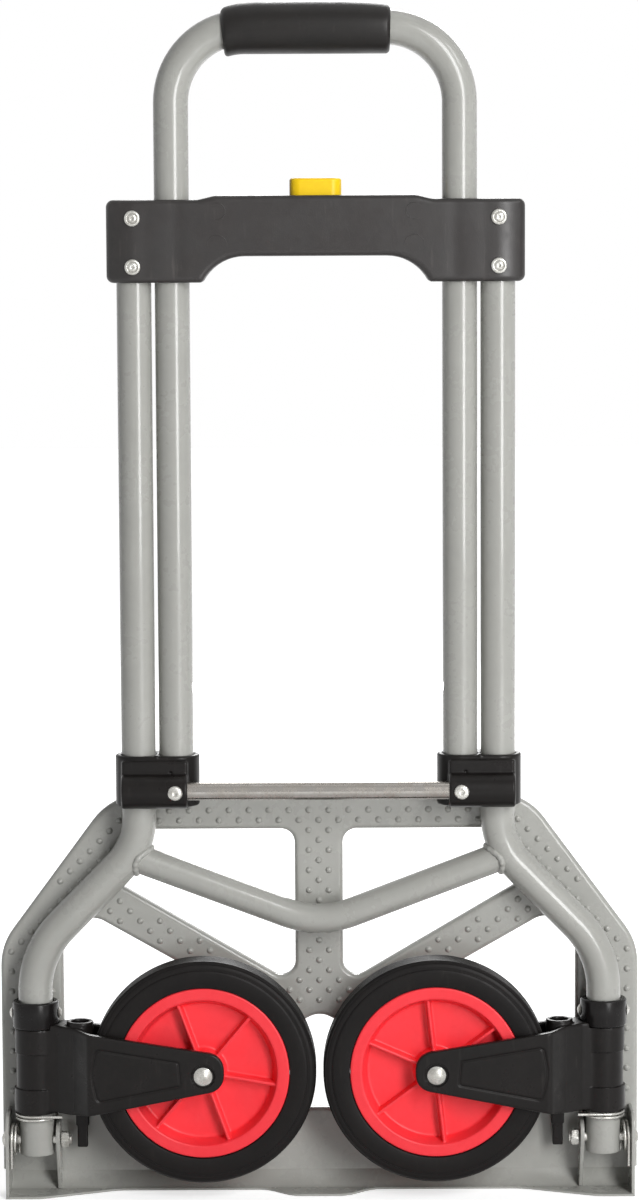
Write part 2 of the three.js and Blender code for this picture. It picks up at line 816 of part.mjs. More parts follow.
// The grip follows the tube, and its left end reaches into the bend
const gripMiddle = pathLength(handlePath) / 2 + gripShift;
const gripStations = (trim) =>
  stationsAlong(handlePath, gripMiddle - gripLength / 2 + trim, gripMiddle + gripLength / 2 - trim);
const grip = joined(
  sweep(ring(gripDiameter / 2), gripStations(gripEndStep)),
  sweep(ring(gripDiameter / 2 - gripEndStep), gripStations(0)),
);
addPiece(handle, 'grip', cut(grip, sweep(ring(seatRadius), stationsAlong(handlePath))), blackRubber);

// Carriages: two bores side by side, a front pad, and a round boss that holds the bar's end
const carriageTop = carriageBottomHeight + carriageHeight;
const carriageInner = handleHalfSpan - slideRadius - carriageWall;
const carriageOuter = frameHalfSpan + slideRadius + carriageWall;
const carriageRound = slideRadius + carriageWall;
const carriagePadInnerHalf = handleHalfSpan - carriagePadInnerMargin;
const carriagePadOuterHalf = frameHalfSpan + carriagePadOuterMargin;
const barHalfLength = handleHalfSpan + barOverlap;
const carriageCorner = carriageRound * roundShare;
const carriageBody = alongZ(
  rounded([
    [carriageInner, -carriageRound, carriageCorner],
    [carriageOuter, -carriageRound, carriageCorner],
    [carriageOuter, carriageRound, carriageCorner],
    [carriageInner, carriageRound, carriageCorner],
  ]),
  carriageBottomHeight,
  carriageTop,
);
const padShape = rounded([
  [carriagePadInnerHalf, carriageBottomHeight, carriagePadCorner],
  [carriagePadOuterHalf, carriageBottomHeight, carriagePadCorner],
  [carriagePadOuterHalf, carriageBottomHeight + carriagePadHeight, carriagePadCorner],
  [carriagePadInnerHalf, carriageBottomHeight + carriagePadHeight, carriagePadCorner],
]);
const bossHeight = carriageBottomHeight + bossRadius;
const carriage = cut(
  joined(
    carriageBody,
    alongY(padShape, -carriagePadDepth, 0),
    rodX(bossRadius, carriagePadInnerHalf, carriagePadOuterHalf, -bossDepth, bossHeight),
  ),
  rodZ(seatRadius, carriageBottomHeight - overrun, carriageTop + overrun, handleHalfSpan, 0),
  rodZ(slideRadius, carriageBottomHeight - overrun, carriageTop + overrun, frameHalfSpan, 0),
  rodX(barDiameter / 2 + fitGap, carriagePadInnerHalf - overrun, barHalfLength + fitGap, -barDepth, barHeight),
  rodY(screwHole, -bossDepth - bossRadius - overrun, 0, handleHalfSpan, barHeight, fastenerSides),
);
addPair(handle, 'carriage', carriage, blackPlastic);

const crossBar = cut(
  solid(rodX(barDiameter / 2, -barHalfLength, barHalfLength, -barDepth, barHeight)),
  rodX(barDiameter / 2 - barWall, -barHalfLength - overrun, barHalfLength + overrun, -barDepth, barHeight),
  ...sides.map((side) =>
    rodY(
      screwHole, -barDepth - barDiameter, -barDepth + barDiameter,
      side * handleHalfSpan, barHeight, fastenerSides,
    )),
);
addPiece(handle, 'cross_bar', crossBar, chromedSteel);

const screwSeat = -bossDepth - bossRadius - fitGap;
const screw = joined(
  rodY(
    screwShankDiameter / 2, screwSeat - fitGap, screwSeat + screwLength,
    handleHalfSpan, barHeight, fastenerSides,
  ),
  domeHead(screwHeadDiameter / 2, screwHeadHeight).rotateX(Math.PI / 2)
    .translate(handleHalfSpan, screwSeat, barHeight),
);
addPair(handle, 'carriage_screw', screw, zincSteel);

// Leg collars with their cross rivets, about the leg's axis
const legs = new THREE.Group();
handTruck.add(legs);

const collar = cut(
  solid(rodZ(collarDiameter / 2, collarBottomHeight, collarBottomHeight + collarHeight, 0, 0)),
  rodZ(seatRadius, collarBottomHeight - overrun, collarBottomHeight + collarHeight + overrun, 0, 0),
  rodX(collarRivetHole, -collarDiameter, collarDiameter, 0, collarRivetHeight, fastenerSides),
);
addPair(legs, 'leg_collar', collar, blackPlastic, legHalfSpan);

const collarOut = collarDiameter / 2 + fitGap;
const collarRivet = joined(
  rodX(collarRivetShank / 2, -collarOut - fitGap, collarOut + fitGap, 0, collarRivetHeight, fastenerSides),
  domeHead(collarRivetHead / 2, collarRivetHeadHeight).rotateY(Math.PI / 2)
    .translate(collarOut, 0, collarRivetHeight),
  domeHead(collarRivetHead / 2, collarRivetHeadHeight).rotateY(-Math.PI / 2)
    .translate(-collarOut, 0, collarRivetHeight),
);
addPair(legs, 'collar_rivet', collarRivet, zincSteel, legHalfSpan);

// Hinge bolts along X, from the ear outside the leg to the nut inside the lug
const earOuter = tubeRadius + earGap + earThickness;
const flangeHalfWidth = legHalfSpan + earOuter;
const lugOuter = -tubeRadius - lugGap;
const lugInner = lugOuter - lugThickness;
const nutOuter = lugInner - fitGap;
const hingeBolt = joined(
  rodX(
    hingeBoltDiameter / 2,
    nutOuter - hingeNutHeight - hingeBoltTail, earOuter + fitGap + hingeHeadHeight / 2,
    0, hingeHeight, fastenerSides,
  ),
  domeHead(hingeHeadDiameter / 2, hingeHeadHeight).rotateY(Math.PI / 2)
    .translate(earOuter + fitGap, 0, hingeHeight),
);
addPair(legs, 'hinge_bolt', hingeBolt, zincSteel, legHalfSpan);

const hexagon = (across) => ring(across / 2 / Math.cos(Math.PI / 6), 6);
const hingeNut = cut(
  solid(alongX(hexagon(hingeNutAcross), nutOuter - hingeNutHeight, nutOuter).translate(0, 0, hingeHeight)),
  rodX(hingeHole, nutOuter - hingeNutHeight - overrun, nutOuter + overrun, 0, hingeHeight, fastenerSides),
);
addPair(legs, 'hinge_nut', hingeNut, zincSteel, legHalfSpan);

// Toe plate
const toe = new THREE.Group();
handTruck.add(toe);

// The shoulder runs straight from the top bar to the elbow, where the side becomes upright
const plateHalfWidth = flangeHalfWidth + plateSideMargin;
const plateShoulderHalf = plateHalfWidth * shoulderWidthShare;
const plateElbowHeight = plateTopHeight * elbowHeightShare;
const upperSpokeHubHeight = plateTopHeight * upperHubHeightShare;
const lowerSpokeHubHeight = plateTopHeight * lowerHubHeightShare;
const bottomBandHeight = plateTopHeight * bandHeightShare;
const shoulderRun = plateHalfWidth - plateShoulderHalf;
const shoulderFall = plateTopHeight - plateElbowHeight;
const shoulderSlope = shoulderFall / shoulderRun;
const shoulderBarWidth = plateHalfWidth * shoulderBarShare;
const shoulderShift = (shoulderBarWidth * Math.hypot(shoulderRun, shoulderFall)) / shoulderFall;
const shoulderInnerAt = (z) => plateShoulderHalf - shoulderShift + (plateTopHeight - z) / shoulderSlope;

const plateFoot = plateBendRadius + overrun / 2;
const plateRight = [
  [plateHalfWidth, plateFoot, 0],
  [plateHalfWidth, plateElbowHeight, plateElbowRadius],
  [plateShoulderHalf, plateTopHeight, plateShoulderRadius],
];
const plateCorners = [...plateRight, ...otherSide(plateRight)];

// Where a line that climbs outwards from the middle plane meets the shoulder bar's inner edge
function onShoulder(midHeight, slope) {
  const atPlane = plateShoulderHalf - shoulderShift;
  const x = (plateTopHeight - midHeight + shoulderSlope * atPlane) / (slope + shoulderSlope);
  return [x, midHeight + slope * x];
}

const across = (width, slope) => width * Math.hypot(1, slope);
const upperSpokeTop = upperSpokeHubHeight - upperSpokeSlope * postHalfWidth;
const upperSpokeBottom = upperSpokeTop - across(upperSpokeWidth, upperSpokeSlope);
const lowerSpokeBottom = lowerSpokeHubHeight - across(lowerSpokeWidth, lowerSpokeSlope);
const sideInner = plateHalfWidth * (1 - sideBarShare);
const topBarBottom = plateTopHeight - topBarWidth;
const hubX = (lowerSpokeHubHeight - upperSpokeBottom) / (upperSpokeSlope + lowerSpokeSlope);
const apexFootX = (lowerSpokeBottom - bottomBandHeight) / lowerSpokeSlope;

const upperOpening = [
  [postHalfWidth, upperSpokeHubHeight, openingCorner],
  [...onShoulder(upperSpokeTop, upperSpokeSlope), openingCorner],
  [shoulderInnerAt(topBarBottom), topBarBottom, openingCorner],
  [postHalfWidth, topBarBottom, openingCorner],
];
const sideCorner = [
  sideInner,
  plateTopHeight - shoulderSlope * (sideInner + shoulderShift - plateShoulderHalf),
];
const spokeCorner = onShoulder(upperSpokeBottom, upperSpokeSlope);
const spokeCornerReach = Math.hypot(sideCorner[0] - spokeCorner[0], sideCorner[1] - spokeCorner[1]);
const lowerOpening = [
  [hubX, upperSpokeBottom + upperSpokeSlope * hubX, openingCorner],
  [sideInner, lowerSpokeHubHeight - lowerSpokeSlope * sideInner, openingCorner],
  [...sideCorner, openingCorner],
  [...spokeCorner, spokeCornerReach * spokeRoundShare],
];
const middleOpening = [
  [-apexFootX, bottomBandHeight, openingCorner],
  [apexFootX, bottomBandHeight, openingCorner],
  [0, lowerSpokeBottom, apexCorner],
];
const openings = [
  upperOpening,
  lowerOpening,
  middleOpening,
  otherSide(upperOpening),
  otherSide(lowerOpening),
];

const rimBack = plateDepth + plateRimDepth;
const sheetBack = plateDepth + plateThickness;
const sheetShape = rounded(plateCorners);
sheetShape.holes = openings.map((corners) => new THREE.Path(roundedPoints(corners)));
const rimAround = (outside, inside) => {
  const shape = rounded(outside);
  shape.holes = [new THREE.Path(roundedPoints(inside))];
  return alongY(shape, plateDepth, rimBack);
};
const rims = [
  cut(
    solid(rimAround(plateCorners, offsetCorners(plateCorners, plateThickness))),
    block(
      -flangeHalfWidth, flangeHalfWidth, sheetBack, rimBack + overrun,
      0, plateFoot + 2 * plateThickness,
    ),
  ),
  ...openings.map((corners) => solid(rimAround(offsetCorners(corners, -plateThickness), corners))),
];

// The bend between sheet and flange, as a band carried along X
const bendFoot = sheetBack - plateBendRadius;
const bendCorners = [
  [sheetBack, plateBendRadius + overrun, 0],
  [plateDepth, plateBendRadius + overrun, 0],
  [plateDepth, plateThickness, plateBendRadius - plateThickness],
  [bendFoot - overrun, plateThickness, 0],
  [bendFoot - overrun, 0, 0],
  [sheetBack, 0, plateBendRadius],
];
const flangeRight = [
  [flangeTongueHalf, -flangeTongueDepth, overrun],
  [flangeTongueFootHalf, flangeCutDepth, openingCorner],
  [flangeHalfWidth * flangeStepShare, flangeCutDepth, apexCorner],
  [flangeHalfWidth * flangeCornerShare, -flangeCornerDepth, apexCorner],
  [flangeHalfWidth, -flangeCornerDepth, flangeEdgeCorner],
  [flangeHalfWidth, bendFoot - overrun / 2, 0],
];
const flangeShape = rounded([...flangeRight, ...otherSide(flangeRight)]);

// The outer hinge ears, folded forward from the sheet
const earShape = rounded([
  [-earDepth, plateThickness / 2, 0],
  [plateDepth + plateThickness / 2, plateThickness / 2, plateBendRadius - plateThickness / 2],
  [plateDepth + plateThickness / 2, earHeight, 0],
  [-earDepth, earHeight, earCorner],
]);
const ears = sides.map((side) => {
  const [from, to] = [side * (flangeHalfWidth - earThickness), side * flangeHalfWidth];
  return solid(alongX(earShape, Math.min(from, to), Math.max(from, to)));
});
const toePlate = cut(
  [
    ...rims,
    solid(alongX(rounded(bendCorners), -flangeHalfWidth, flangeHalfWidth)),
    solid(alongZ(flangeShape, 0, plateThickness)),
    ...ears,
  ].reduce((sum, next) => sum.add(next), solid(alongY(sheetShape, plateDepth, sheetBack))),
  rodX(hingeHole, -plateHalfWidth, plateHalfWidth, 0, hingeHeight, fastenerSides),
);
addPiece(toe, 'toe_plate', toePlate, paintedSteel);

// Inner hinge lugs, set against the sheet and the bend
const lugBack = plateDepth - fitGap;
const lugFloor = plateThickness + fitGap;
const lugShape = rounded([
  [lugFootDepth, lugFloor, 0],
  [lugBack, lugFloor, plateBendRadius - plateThickness],
  [lugBack, lugHeight, overrun],
  [-lugFront, lugHeight, lugCorner],
  [-lugFront, hingeHeight, lugCorner],
]);
const lug = cut(
  solid(alongX(lugShape, lugInner, lugOuter)),
  rodX(hingeHole, lugInner - overrun, lugOuter + overrun, 0, hingeHeight, fastenerSides),
);
addPair(toe, 'hinge_lug', lug, paintedSteel, legHalfSpan);

// Torsion springs round the hinge bolts, between ear and leg
const toeSpringRadius = (toeSpringDiameter - toeSpringWire) / 2;
const toeSpringSpan = toeSpringTurns * toeSpringPitch;
const springMiddle = (tubeRadius + earOuter - earThickness) / 2;
const toeSpring = spring(
  'toe_spring',
  toeSpringWire,
  toeSpringRadius,
  springStations(toeSpringRadius, toeSpringTurns, toeSpringPitch, toeSpringShortLeg, toeSpringLeg),
).applyMatrix4(endOn).translate(springMiddle - toeSpringSpan / 2, 0, hingeHeight);
addPair(toe, 'toe_spring', toeSpring, zincSteel, legHalfSpan);

// Wheel arms, about the leg's axis, with the arms reaching towards the middle plane
const arms = new THREE.Group();
handTruck.add(arms);

// The direction of the straight edge that leaves a point and touches a round end
function tangentPoint([px, pz], [cx, cz], radius, upper) {
  const distance = Math.hypot(cx - px, cz - pz);
  const towards = Math.atan2(cz - pz, cx - px);
  const lean = Math.asin(radius / distance) * (upper ? 1 : -1);
  const normal = towards + lean + (upper ? Math.PI / 2 : -Math.PI / 2);
  return { angle: normal, x: cx + radius * Math.cos(normal), z: cz + radius * Math.sin(normal) };
}

const hubHalfSpan = wheelDiameter / 2 + wheelPartingHalf;
const armReach = legHalfSpan - hubHalfSpan;
const armCentre = [armReach, axleHeight];
const lowTangent = tangentPoint([armShoulderInset, armBottomHeight], armCentre, armEndRadius, false);
const highTangent = tangentPoint([armShoulderInset, armTopHeight], armCentre, armEndRadius, true);
const armEndSteps = 10;
const armEnd = Array.from({ length: armEndSteps + 1 }, (_, k) => {
  const angle = lowTangent.angle + ((highTangent.angle - lowTangent.angle) * k) / armEndSteps;
  const out = armEndRadius * Math.cos(angle);
  const up = armEndRadius * Math.sin(angle);
  return new THREE.Vector2(armReach + out, axleHeight + up);
});
const armSide = new THREE.Shape([
  new THREE.Vector2(0, armBottomHeight),
  new THREE.Vector2(armShoulderInset, armBottomHeight),
  ...armEnd,
  new THREE.Vector2(armShoulderInset, armTopHeight),
  new THREE.Vector2(0, armTopHeight),
]);

// The plan of the yoke: a U that opens away from the leg
const armFar = armReach + armEndRadius + overrun;
const recessInner = armRootInset + yokeWeb;
const farInner = farArmDepth - armThickness;
const nearInner = -nearArmDepth + armThickness;
const recessRadius = ((farInner - nearInner) / 2) * roundShare;
const yokePlan = rounded([
  [tubeRadius / 2, farArmDepth, 0],
  [tubeRadius / 2, -tubeRadius, 0],
  [armRootInset, -tubeRadius, 0],
  [armRootInset, -nearArmDepth, yokeCorner],
  [armFar, -nearArmDepth, 0],
  [armFar, nearInner, 0],
  [recessInner, nearInner, recessRadius],
  [recessInner, farInner, recessRadius],
  [armFar, farInner, 0],
  [armFar, farArmDepth, 0],
]);
const axleHole = clearOf(axleDiameter / 2, fastenerSides);
const wheelCentreDepth = (farInner + nearInner) / 2;
const peg = [
  block(
    pegInset - pegWidth / 2, pegInset + pegWidth / 2, farInner, farArmDepth,
    pegStepHeight, armBottomHeight + pegWidth,
  ),
  block(
    pegInset - pegTipWidth / 2, pegInset + pegTipWidth / 2, farInner, farArmDepth,
    pegBottomHeight, pegStepHeight + overrun,
  ),
];
const yoke = solid(alongZ(yokePlan, armBottomHeight - overrun, armTopHeight + overrun))
  .intersect(solid(alongY(armSide, -nearArmDepth - overrun, farArmDepth + overrun)));
const sleeve = [
  rodZ(sleeveTopDiameter / 2, sleeveTopHeight - sleeveTopBand, sleeveTopHeight, 0, 0),
  rodZ(sleeveMiddleDiameter / 2, sleeveBottomHeight + sleeveBottomBand, sleeveTopHeight - sleeveTopBand, 0, 0),
  rodZ(sleeveBottomDiameter / 2, sleeveBottomHeight, sleeveBottomHeight + sleeveBottomBand, 0, 0),
];
const forkBody = [...sleeve, ...peg].reduce((sum, next) => sum.add(solid(next)), yoke);
const fork = cut(
  forkBody,
  rodZ(clearOf(tubeRadius, tubeSides), sleeveBottomHeight - overrun, armTopHeight + overrun, 0, 0),
  rodZ(clearOf(collarDiameter / 2, tubeSides), sleeveTopHeight, armTopHeight + overrun, 0, 0),
  rodY(axleHole, -nearArmDepth - overrun, farArmDepth + overrun, armReach, axleHeight, fastenerSides),
  rodY(boltRecessDiameter / 2, -nearArmDepth - overrun, -nearArmDepth + boltRecessDepth, armReach, axleHeight),
);
// The arms reach towards the middle plane, so the right-hand fork is the mirrored one
addPair(arms, 'wheel_fork', mirrored(surface(fork)), blackPlastic, legHalfSpan);

// Torsion springs round the legs, under the sleeves
const forkSpringRadius = clearOf(tubeRadius + forkSpringWire / 2, curlSteps);
const forkSpring = spring(
  'fork_spring',
  forkSpringWire,
  forkSpringRadius,
  springStations(
    forkSpringRadius, forkSpringTurns, forkSpringPitch, forkSpringShortLeg, forkSpringLeg, Math.PI / 2,
  ),
).translate(0, 0, sleeveBottomHeight - fitGap - forkSpringWire / 2 - forkSpringTurns * forkSpringPitch);
addPair(arms, 'fork_spring', mirrored(surface(solid(forkSpring))), zincSteel, legHalfSpan);

// Axle bolts with their nuts behind the far arm
const axleSeat = -nearArmDepth + boltRecessDepth - fitGap;
const nutNear = farArmDepth + fitGap;
const axleBolt = joined(
  rodY(axleDiameter / 2, axleSeat - axleHeadHeight / 2, nutNear + axleNutHeight + axleTail, 0, axleHeight,
    fastenerSides),
  domeHead(axleHeadDiameter / 2, axleHeadHeight).rotateX(Math.PI / 2).translate(0, axleSeat, axleHeight),
);
addPair(arms, 'axle_bolt', axleBolt, zincSteel, hubHalfSpan);

const axleNut = cut(
  solid(alongY(hexagon(axleNutAcross), nutNear, nutNear + axleNutHeight).translate(0, 0, axleHeight)),
  rodY(axleHole, nutNear - overrun, nutNear + axleNutHeight + overrun, 0, axleHeight, fastenerSides),
);
addPair(arms, 'axle_nut', axleNut, zincSteel, hubHalfSpan);

// Wheels, turned about Y: the profiles run from the near side to the far side
const spun = (profile) =>
  new THREE.LatheGeometry(profile.map(([radius, y]) => new THREE.Vector2(radius, y)), wheelSides);

const tyreOuter = wheelDiameter / 2;
const tyreInner = hubDiameter / 2;
const tyreHalf = wheelWidth / 2;
const tyreCorners = [
  [tyreInner, -tyreHalf, 0],
  [tyreOuter, -tyreHalf, tyreShoulder],
  [tyreOuter, tyreHalf, tyreShoulder],
  [tyreInner, tyreHalf, 0],
];
const tyreProfile = roundedPoints(tyreCorners).map(({ x, y }) => [x, y]);
const tyre = spun([...tyreProfile, tyreProfile[0]]);

const hubOuter = tyreInner - fitGap;
const rimInner = hubOuter - rimWidth;
const bossOuter = bossDiameter / 2;
const bossHalf = (farInner - nearInner) / 2 - fitGap;
const webHalf = hubWebThickness / 2;
const hubNear = [
  [0, -bossHalf],
  [bossOuter - rimDraft, -bossHalf],
  [bossOuter, -webHalf],
  [rimInner - rimDraft, -webHalf],
  [rimInner, -hubRimHalfWidth],
  [hubOuter, -hubRimHalfWidth],
];
const hubFar = hubNear.map(([radius, y]) => [radius, -y]).reverse();
const ribHalfHeight = webHalf + ribDepth;
const ribs = Array.from({ length: ribCount }, (_, k) =>
  block(
    bossOuter - overrun, rimInner + overrun,
    -ribHalfHeight, ribHalfHeight,
    -ribThickness / 2, ribThickness / 2,
  ).rotateY((2 * Math.PI * k) / ribCount));
const wheelHub = cut(
  joined(spun([...hubNear, ...hubFar]), ...ribs),
  rodY(axleHole, -bossHalf - overrun, bossHalf + overrun, 0, 0, fastenerSides),
);

const wheelPlaces = [
  ['left', -hubHalfSpan, leftWheelPhase],
  ['right', hubHalfSpan, rightWheelPhase],
];
for (const [side, x, phase] of wheelPlaces) {
  const wheel = new THREE.Group();
  wheel.position.set(x, wheelCentreDepth, axleHeight);
  wheel.rotation.y = -THREE.MathUtils.degToRad(phase);
  handTruck.add(wheel);
  addPiece(wheel, `tyre_${side}`, tyre, blackRubber);
  addPiece(wheel, `wheel_hub_${side}`, wheelHub, redPlastic);
}

export default handTruck;
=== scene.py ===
# Folding hand truck, folded flat and standing on the bottom flange of its toe plate.
# Shapes are worked out in millimetres and become metres when a mesh is made.
# X runs across the truck, Z is up, and the wheels lie on the -Y side.

import math

import bmesh
import bpy
import numpy as np
from mathutils import Matrix, Vector
from mathutils.geometry import delaunay_2d_cdt


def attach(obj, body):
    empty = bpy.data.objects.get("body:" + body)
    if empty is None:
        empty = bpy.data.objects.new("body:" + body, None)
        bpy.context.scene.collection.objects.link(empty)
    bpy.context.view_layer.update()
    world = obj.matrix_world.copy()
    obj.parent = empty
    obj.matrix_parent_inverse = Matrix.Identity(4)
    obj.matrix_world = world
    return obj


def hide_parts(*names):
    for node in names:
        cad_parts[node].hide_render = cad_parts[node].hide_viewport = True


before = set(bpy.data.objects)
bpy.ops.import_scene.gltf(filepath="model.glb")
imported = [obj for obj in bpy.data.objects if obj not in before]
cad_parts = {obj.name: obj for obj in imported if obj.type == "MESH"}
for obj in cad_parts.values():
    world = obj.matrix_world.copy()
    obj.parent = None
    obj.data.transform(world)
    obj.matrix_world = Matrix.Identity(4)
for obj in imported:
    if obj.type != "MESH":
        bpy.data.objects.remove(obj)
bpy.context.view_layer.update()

millimetre = 0.001
alongX, alongY, alongZ = np.eye(3)
sides = {"left": -1, "right": 1}
# Distances of the main axes from the middle plane, and heights of the hinges and the axle bolts
truck = {"frameTube": 114.3, "handleTube": 90.3, "leg": 182, "wheel": 74, "hinge": 36, "axle": 84}

print("frame loaded:", len(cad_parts), "nodes")


# Mesh making

def addObject(name, data):
    # A new object in the scene
    thing = bpy.data.objects.new(name, data)
    bpy.context.scene.collection.objects.link(thing)
    return thing


def closeUp(mesh):
    # Merges points within 0.002 mm of each other, and turns all faces outwards
    shape = bmesh.new()
    shape.from_mesh(mesh)
    bmesh.ops.remove_doubles(shape, verts=shape.verts, dist=2e-6)
    bmesh.ops.recalc_face_normals(shape, faces=shape.faces)
    shape.to_mesh(mesh)
    shape.free()


def smoothUp(mesh, crease):
    # Smooth faces, with a sharp edge wherever they bend by more than the crease angle
    mesh.shade_smooth()
    mesh.set_sharp_from_angle(angle=math.radians(crease))


def makePiece(name, shells, material, body, stands=(), crease=35):
    # Shells are pairs of points and faces, and stands are the nodes that the piece replaces
    points, faces = joinShells(shells)
    corners = np.concatenate([part.ravel() for part in faces])
    sizes = np.concatenate([np.full(len(part), part.shape[1]) for part in faces])
    mesh = bpy.data.meshes.new(name)
    mesh.vertices.add(len(points))
    mesh.vertices.foreach_set("co", (points * millimetre).ravel())
    mesh.loops.add(len(corners))
    mesh.polygons.add(len(sizes))
    mesh.polygons.foreach_set("loop_start", np.cumsum(sizes) - sizes)
    mesh.polygons.foreach_set("vertices", corners)
    mesh.update(calc_edges=True)
    mesh.validate()
    closeUp(mesh)
    smoothUp(mesh, crease)
    mesh.materials.append(material)
    piece = addObject(name, mesh)
    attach(piece, body)
    if stands:
        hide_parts(*stands)
    return piece


def joinShells(shells):
    # Shells put end to end, with the corner numbers of each moved up past the points before it
    allPoints, allFaces, passed = [], [], 0
    for points, faces in shells:
        points = np.asarray(points, float).reshape(-1, 3)
        for part in faces if isinstance(faces, list) else [faces]:
            allFaces.append(np.asarray(part) + passed)
        allPoints.append(points)
        passed += len(points)
    return np.concatenate(allPoints), allFaces


def gridFaces(rows, columns, loopRows=False, loopColumns=True):
    # One quad between each pair of neighbouring rows and columns, round the seam where they close
    index = np.arange(rows * columns).reshape(rows, columns)
    if loopRows:
        index = np.vstack([index, index[:1]])
    if loopColumns:
        index = np.hstack([index, index[:, :1]])
    return np.stack([index[:-1, :-1], index[1:, :-1], index[1:, 1:], index[:-1, 1:]], -1).reshape(-1, 4)


def mirrored(shell):
    # The right-hand twin of a left-hand shell: X changes sign, and each face runs the other way round
    points, faces = shell
    faces = faces if isinstance(faces, list) else [faces]
    return points * [-1, 1, 1], [part[:, ::-1] for part in faces]


def bothSides(name, leftShells, material, body, node, **more):
    # A left piece and its mirrored right twin, each in place of the node of its side
    for side, sign in sides.items():
        shells = leftShells if sign < 0 else [mirrored(shell) for shell in leftShells]
        makePiece(f"{name}{side.capitalize()}", shells, material, body.format(side=side), [f"{node}_{side}"], **more)


# Paths and turned shapes

def unit(vector):
    # The same direction at length one
    return vector / np.linalg.norm(vector)


def unitRows(rows):
    # Each row at length one
    return rows / np.linalg.norm(rows, axis=1)[:, None]


def bentPath(corners, radii):
    # Straight runs joined by arcs. Gives the function from distances to points and directions, and the length.
    corners = np.array(corners, float)
    runs, start, passed = [], corners[0], 0.0
    for corner, before, after, radius in zip(corners[1:-1], corners, corners[2:], radii):
        into, out = unit(corner - before), unit(after - corner)
        turn = math.acos(into @ out)
        bendStart = corner - into * radius * math.tan(turn / 2)
        runs.append((passed, start, into, 0 * into, 0.0))
        passed += np.linalg.norm(bendStart - start)
        inward = unit(out - into * math.cos(turn))
        runs.append((passed, bendStart, into, inward, 1 / radius))
        passed += radius * turn
        start = bendStart + radius * (math.sin(turn) * into + (1 - math.cos(turn)) * inward)
    runs.append((passed, start, unit(corners[-1] - start), np.zeros(3), 0.0))
    passed += np.linalg.norm(corners[-1] - start)
    begins, origins, directions, inwards, bends = [np.array(column) for column in zip(*runs)]

    def at(distance):
        # On an arc: start + sin(angle) / bend along it, and (1 - cos(angle)) / bend towards its centre
        run = np.clip(np.searchsorted(begins, distance, side="right") - 1, 0, len(begins) - 1)
        along = distance - begins[run]
        bend = bends[run]
        straight = bend == 0
        safe = np.where(straight, 1, bend)
        reach = np.where(straight, along, np.sin(along * bend) / safe)
        lean = np.where(straight, 0, (1 - np.cos(along * bend)) / safe)
        place = origins[run] + reach[:, None] * directions[run] + lean[:, None] * inwards[run]
        heading = np.cos(along * bend)[:, None] * directions[run] + np.sin(along * bend)[:, None] * inwards[run]
        return place, heading

    return at, passed


def lineFrom(origin, direction):
    # A straight path: origin plus distance times direction
    def at(distance):
        distance = np.asarray(distance, float)
        return origin + distance[:, None] * direction, np.broadcast_to(direction, (len(distance), 3))
    return at


def ringShell(place, first, second, radius, count, loopRows=False):
    # A ring round each place: radius times (cos a first + sin a second), with the angle a going once round
    angle = 2 * np.pi * np.arange(count) / count
    first, second = np.broadcast_to(first, place.shape), np.broadcast_to(second, place.shape)
    ring = np.cos(angle)[:, None] * first[:, None] + np.sin(angle)[:, None] * second[:, None]
    points = place[:, None] + np.asarray(radius)[..., None] * ring
    return points.reshape(-1, 3), gridFaces(len(place), count, loopRows)


def carriedRings(at, rows, count, upright, loopRows=False):
    # A row is [distance, radius, flat]. The ring's radius is the lesser of radius and a hexagon of that flat.
    rows = np.array([(*row, 0)[:3] for row in rows], float)
    place, heading = at(rows[:, 0])
    angle = 2 * np.pi * np.arange(count) / count
    radius, flat = rows[:, 1:2], rows[:, 2:3]
    hexagon = flat / np.cos((angle + np.pi / 6) % (np.pi / 3) - np.pi / 6)
    radius = np.where(flat > 0, np.minimum(radius, hexagon), radius)
    return ringShell(place, upright, np.cross(heading, upright), radius, count, loopRows)


def turnedShell(origin, direction, rows, count=36, loopRows=False):
    # Rows of [distance, radius, flat] turned round a straight axis
    upright = alongZ if abs(direction[2]) < 0.5 else alongY
    return carriedRings(lineFrom(np.array(origin, float), direction), rows, count, upright, loopRows)


def roundedLine(corners, closed=True, step=7.0):
    # Corners are [x, y, radius]. Each becomes an arc that touches both its edges. Gives points and left normals.
    corners = np.array([(*corner, 0)[:3] for corner in corners], float)
    points, normals = [], []
    for i, (x, y, radius) in enumerate(corners):
        corner = np.array([x, y])
        into = unit(corner - corners[i - 1, :2]) if closed or i > 0 else None
        out = unit(corners[(i + 1) % len(corners), :2] - corner) if closed or i < len(corners) - 1 else None
        into = out if into is None else into
        out = into if out is None else out
        cross, dot = into[0] * out[1] - into[1] * out[0], into @ out
        turn = math.atan2(cross, dot)
        if radius <= 0 or abs(turn) < 1e-3:
            middle = unit(into + out)
            points.append(corner[None])
            normals.append(np.array([[-middle[1], middle[0]]]))
            continue
        count = max(1, math.ceil(abs(math.degrees(turn)) / step))
        angle = np.linspace(0, turn, count + 1)[:, None]
        leftOfInto = np.array([-into[1], into[0]])
        bendStart = corner - into * radius * math.tan(abs(turn) / 2)
        centre = bendStart + leftOfInto * radius * math.copysign(1, turn)
        normal = leftOfInto * np.cos(angle) - into * np.sin(angle)
        points.append(centre - normal * radius * math.copysign(1, turn))
        normals.append(normal)
    return np.concatenate(points), np.concatenate(normals)


def otherSide(corners):
    # The same corners at -X, in the order that goes on round the outline
    return [(-corner[0], *corner[1:]) for corner in corners][::-1]


# Moulded shapes: the surface where a distance field is zero, found on a grid of points

def boxField(x, y, z, low, high, edge):
    # Distance to a box whose edges are rounded: length of the parts outside it, plus the greatest part inside
    parts = [np.abs(c - (a + b) / 2) - ((b - a) / 2 - edge) for c, a, b in zip((x, y, z), low, high)]
    outside = np.sqrt(sum(np.maximum(part, 0) ** 2 for part in parts))
    return outside + np.minimum(np.maximum.reduce(np.broadcast_arrays(*parts)), 0) - edge


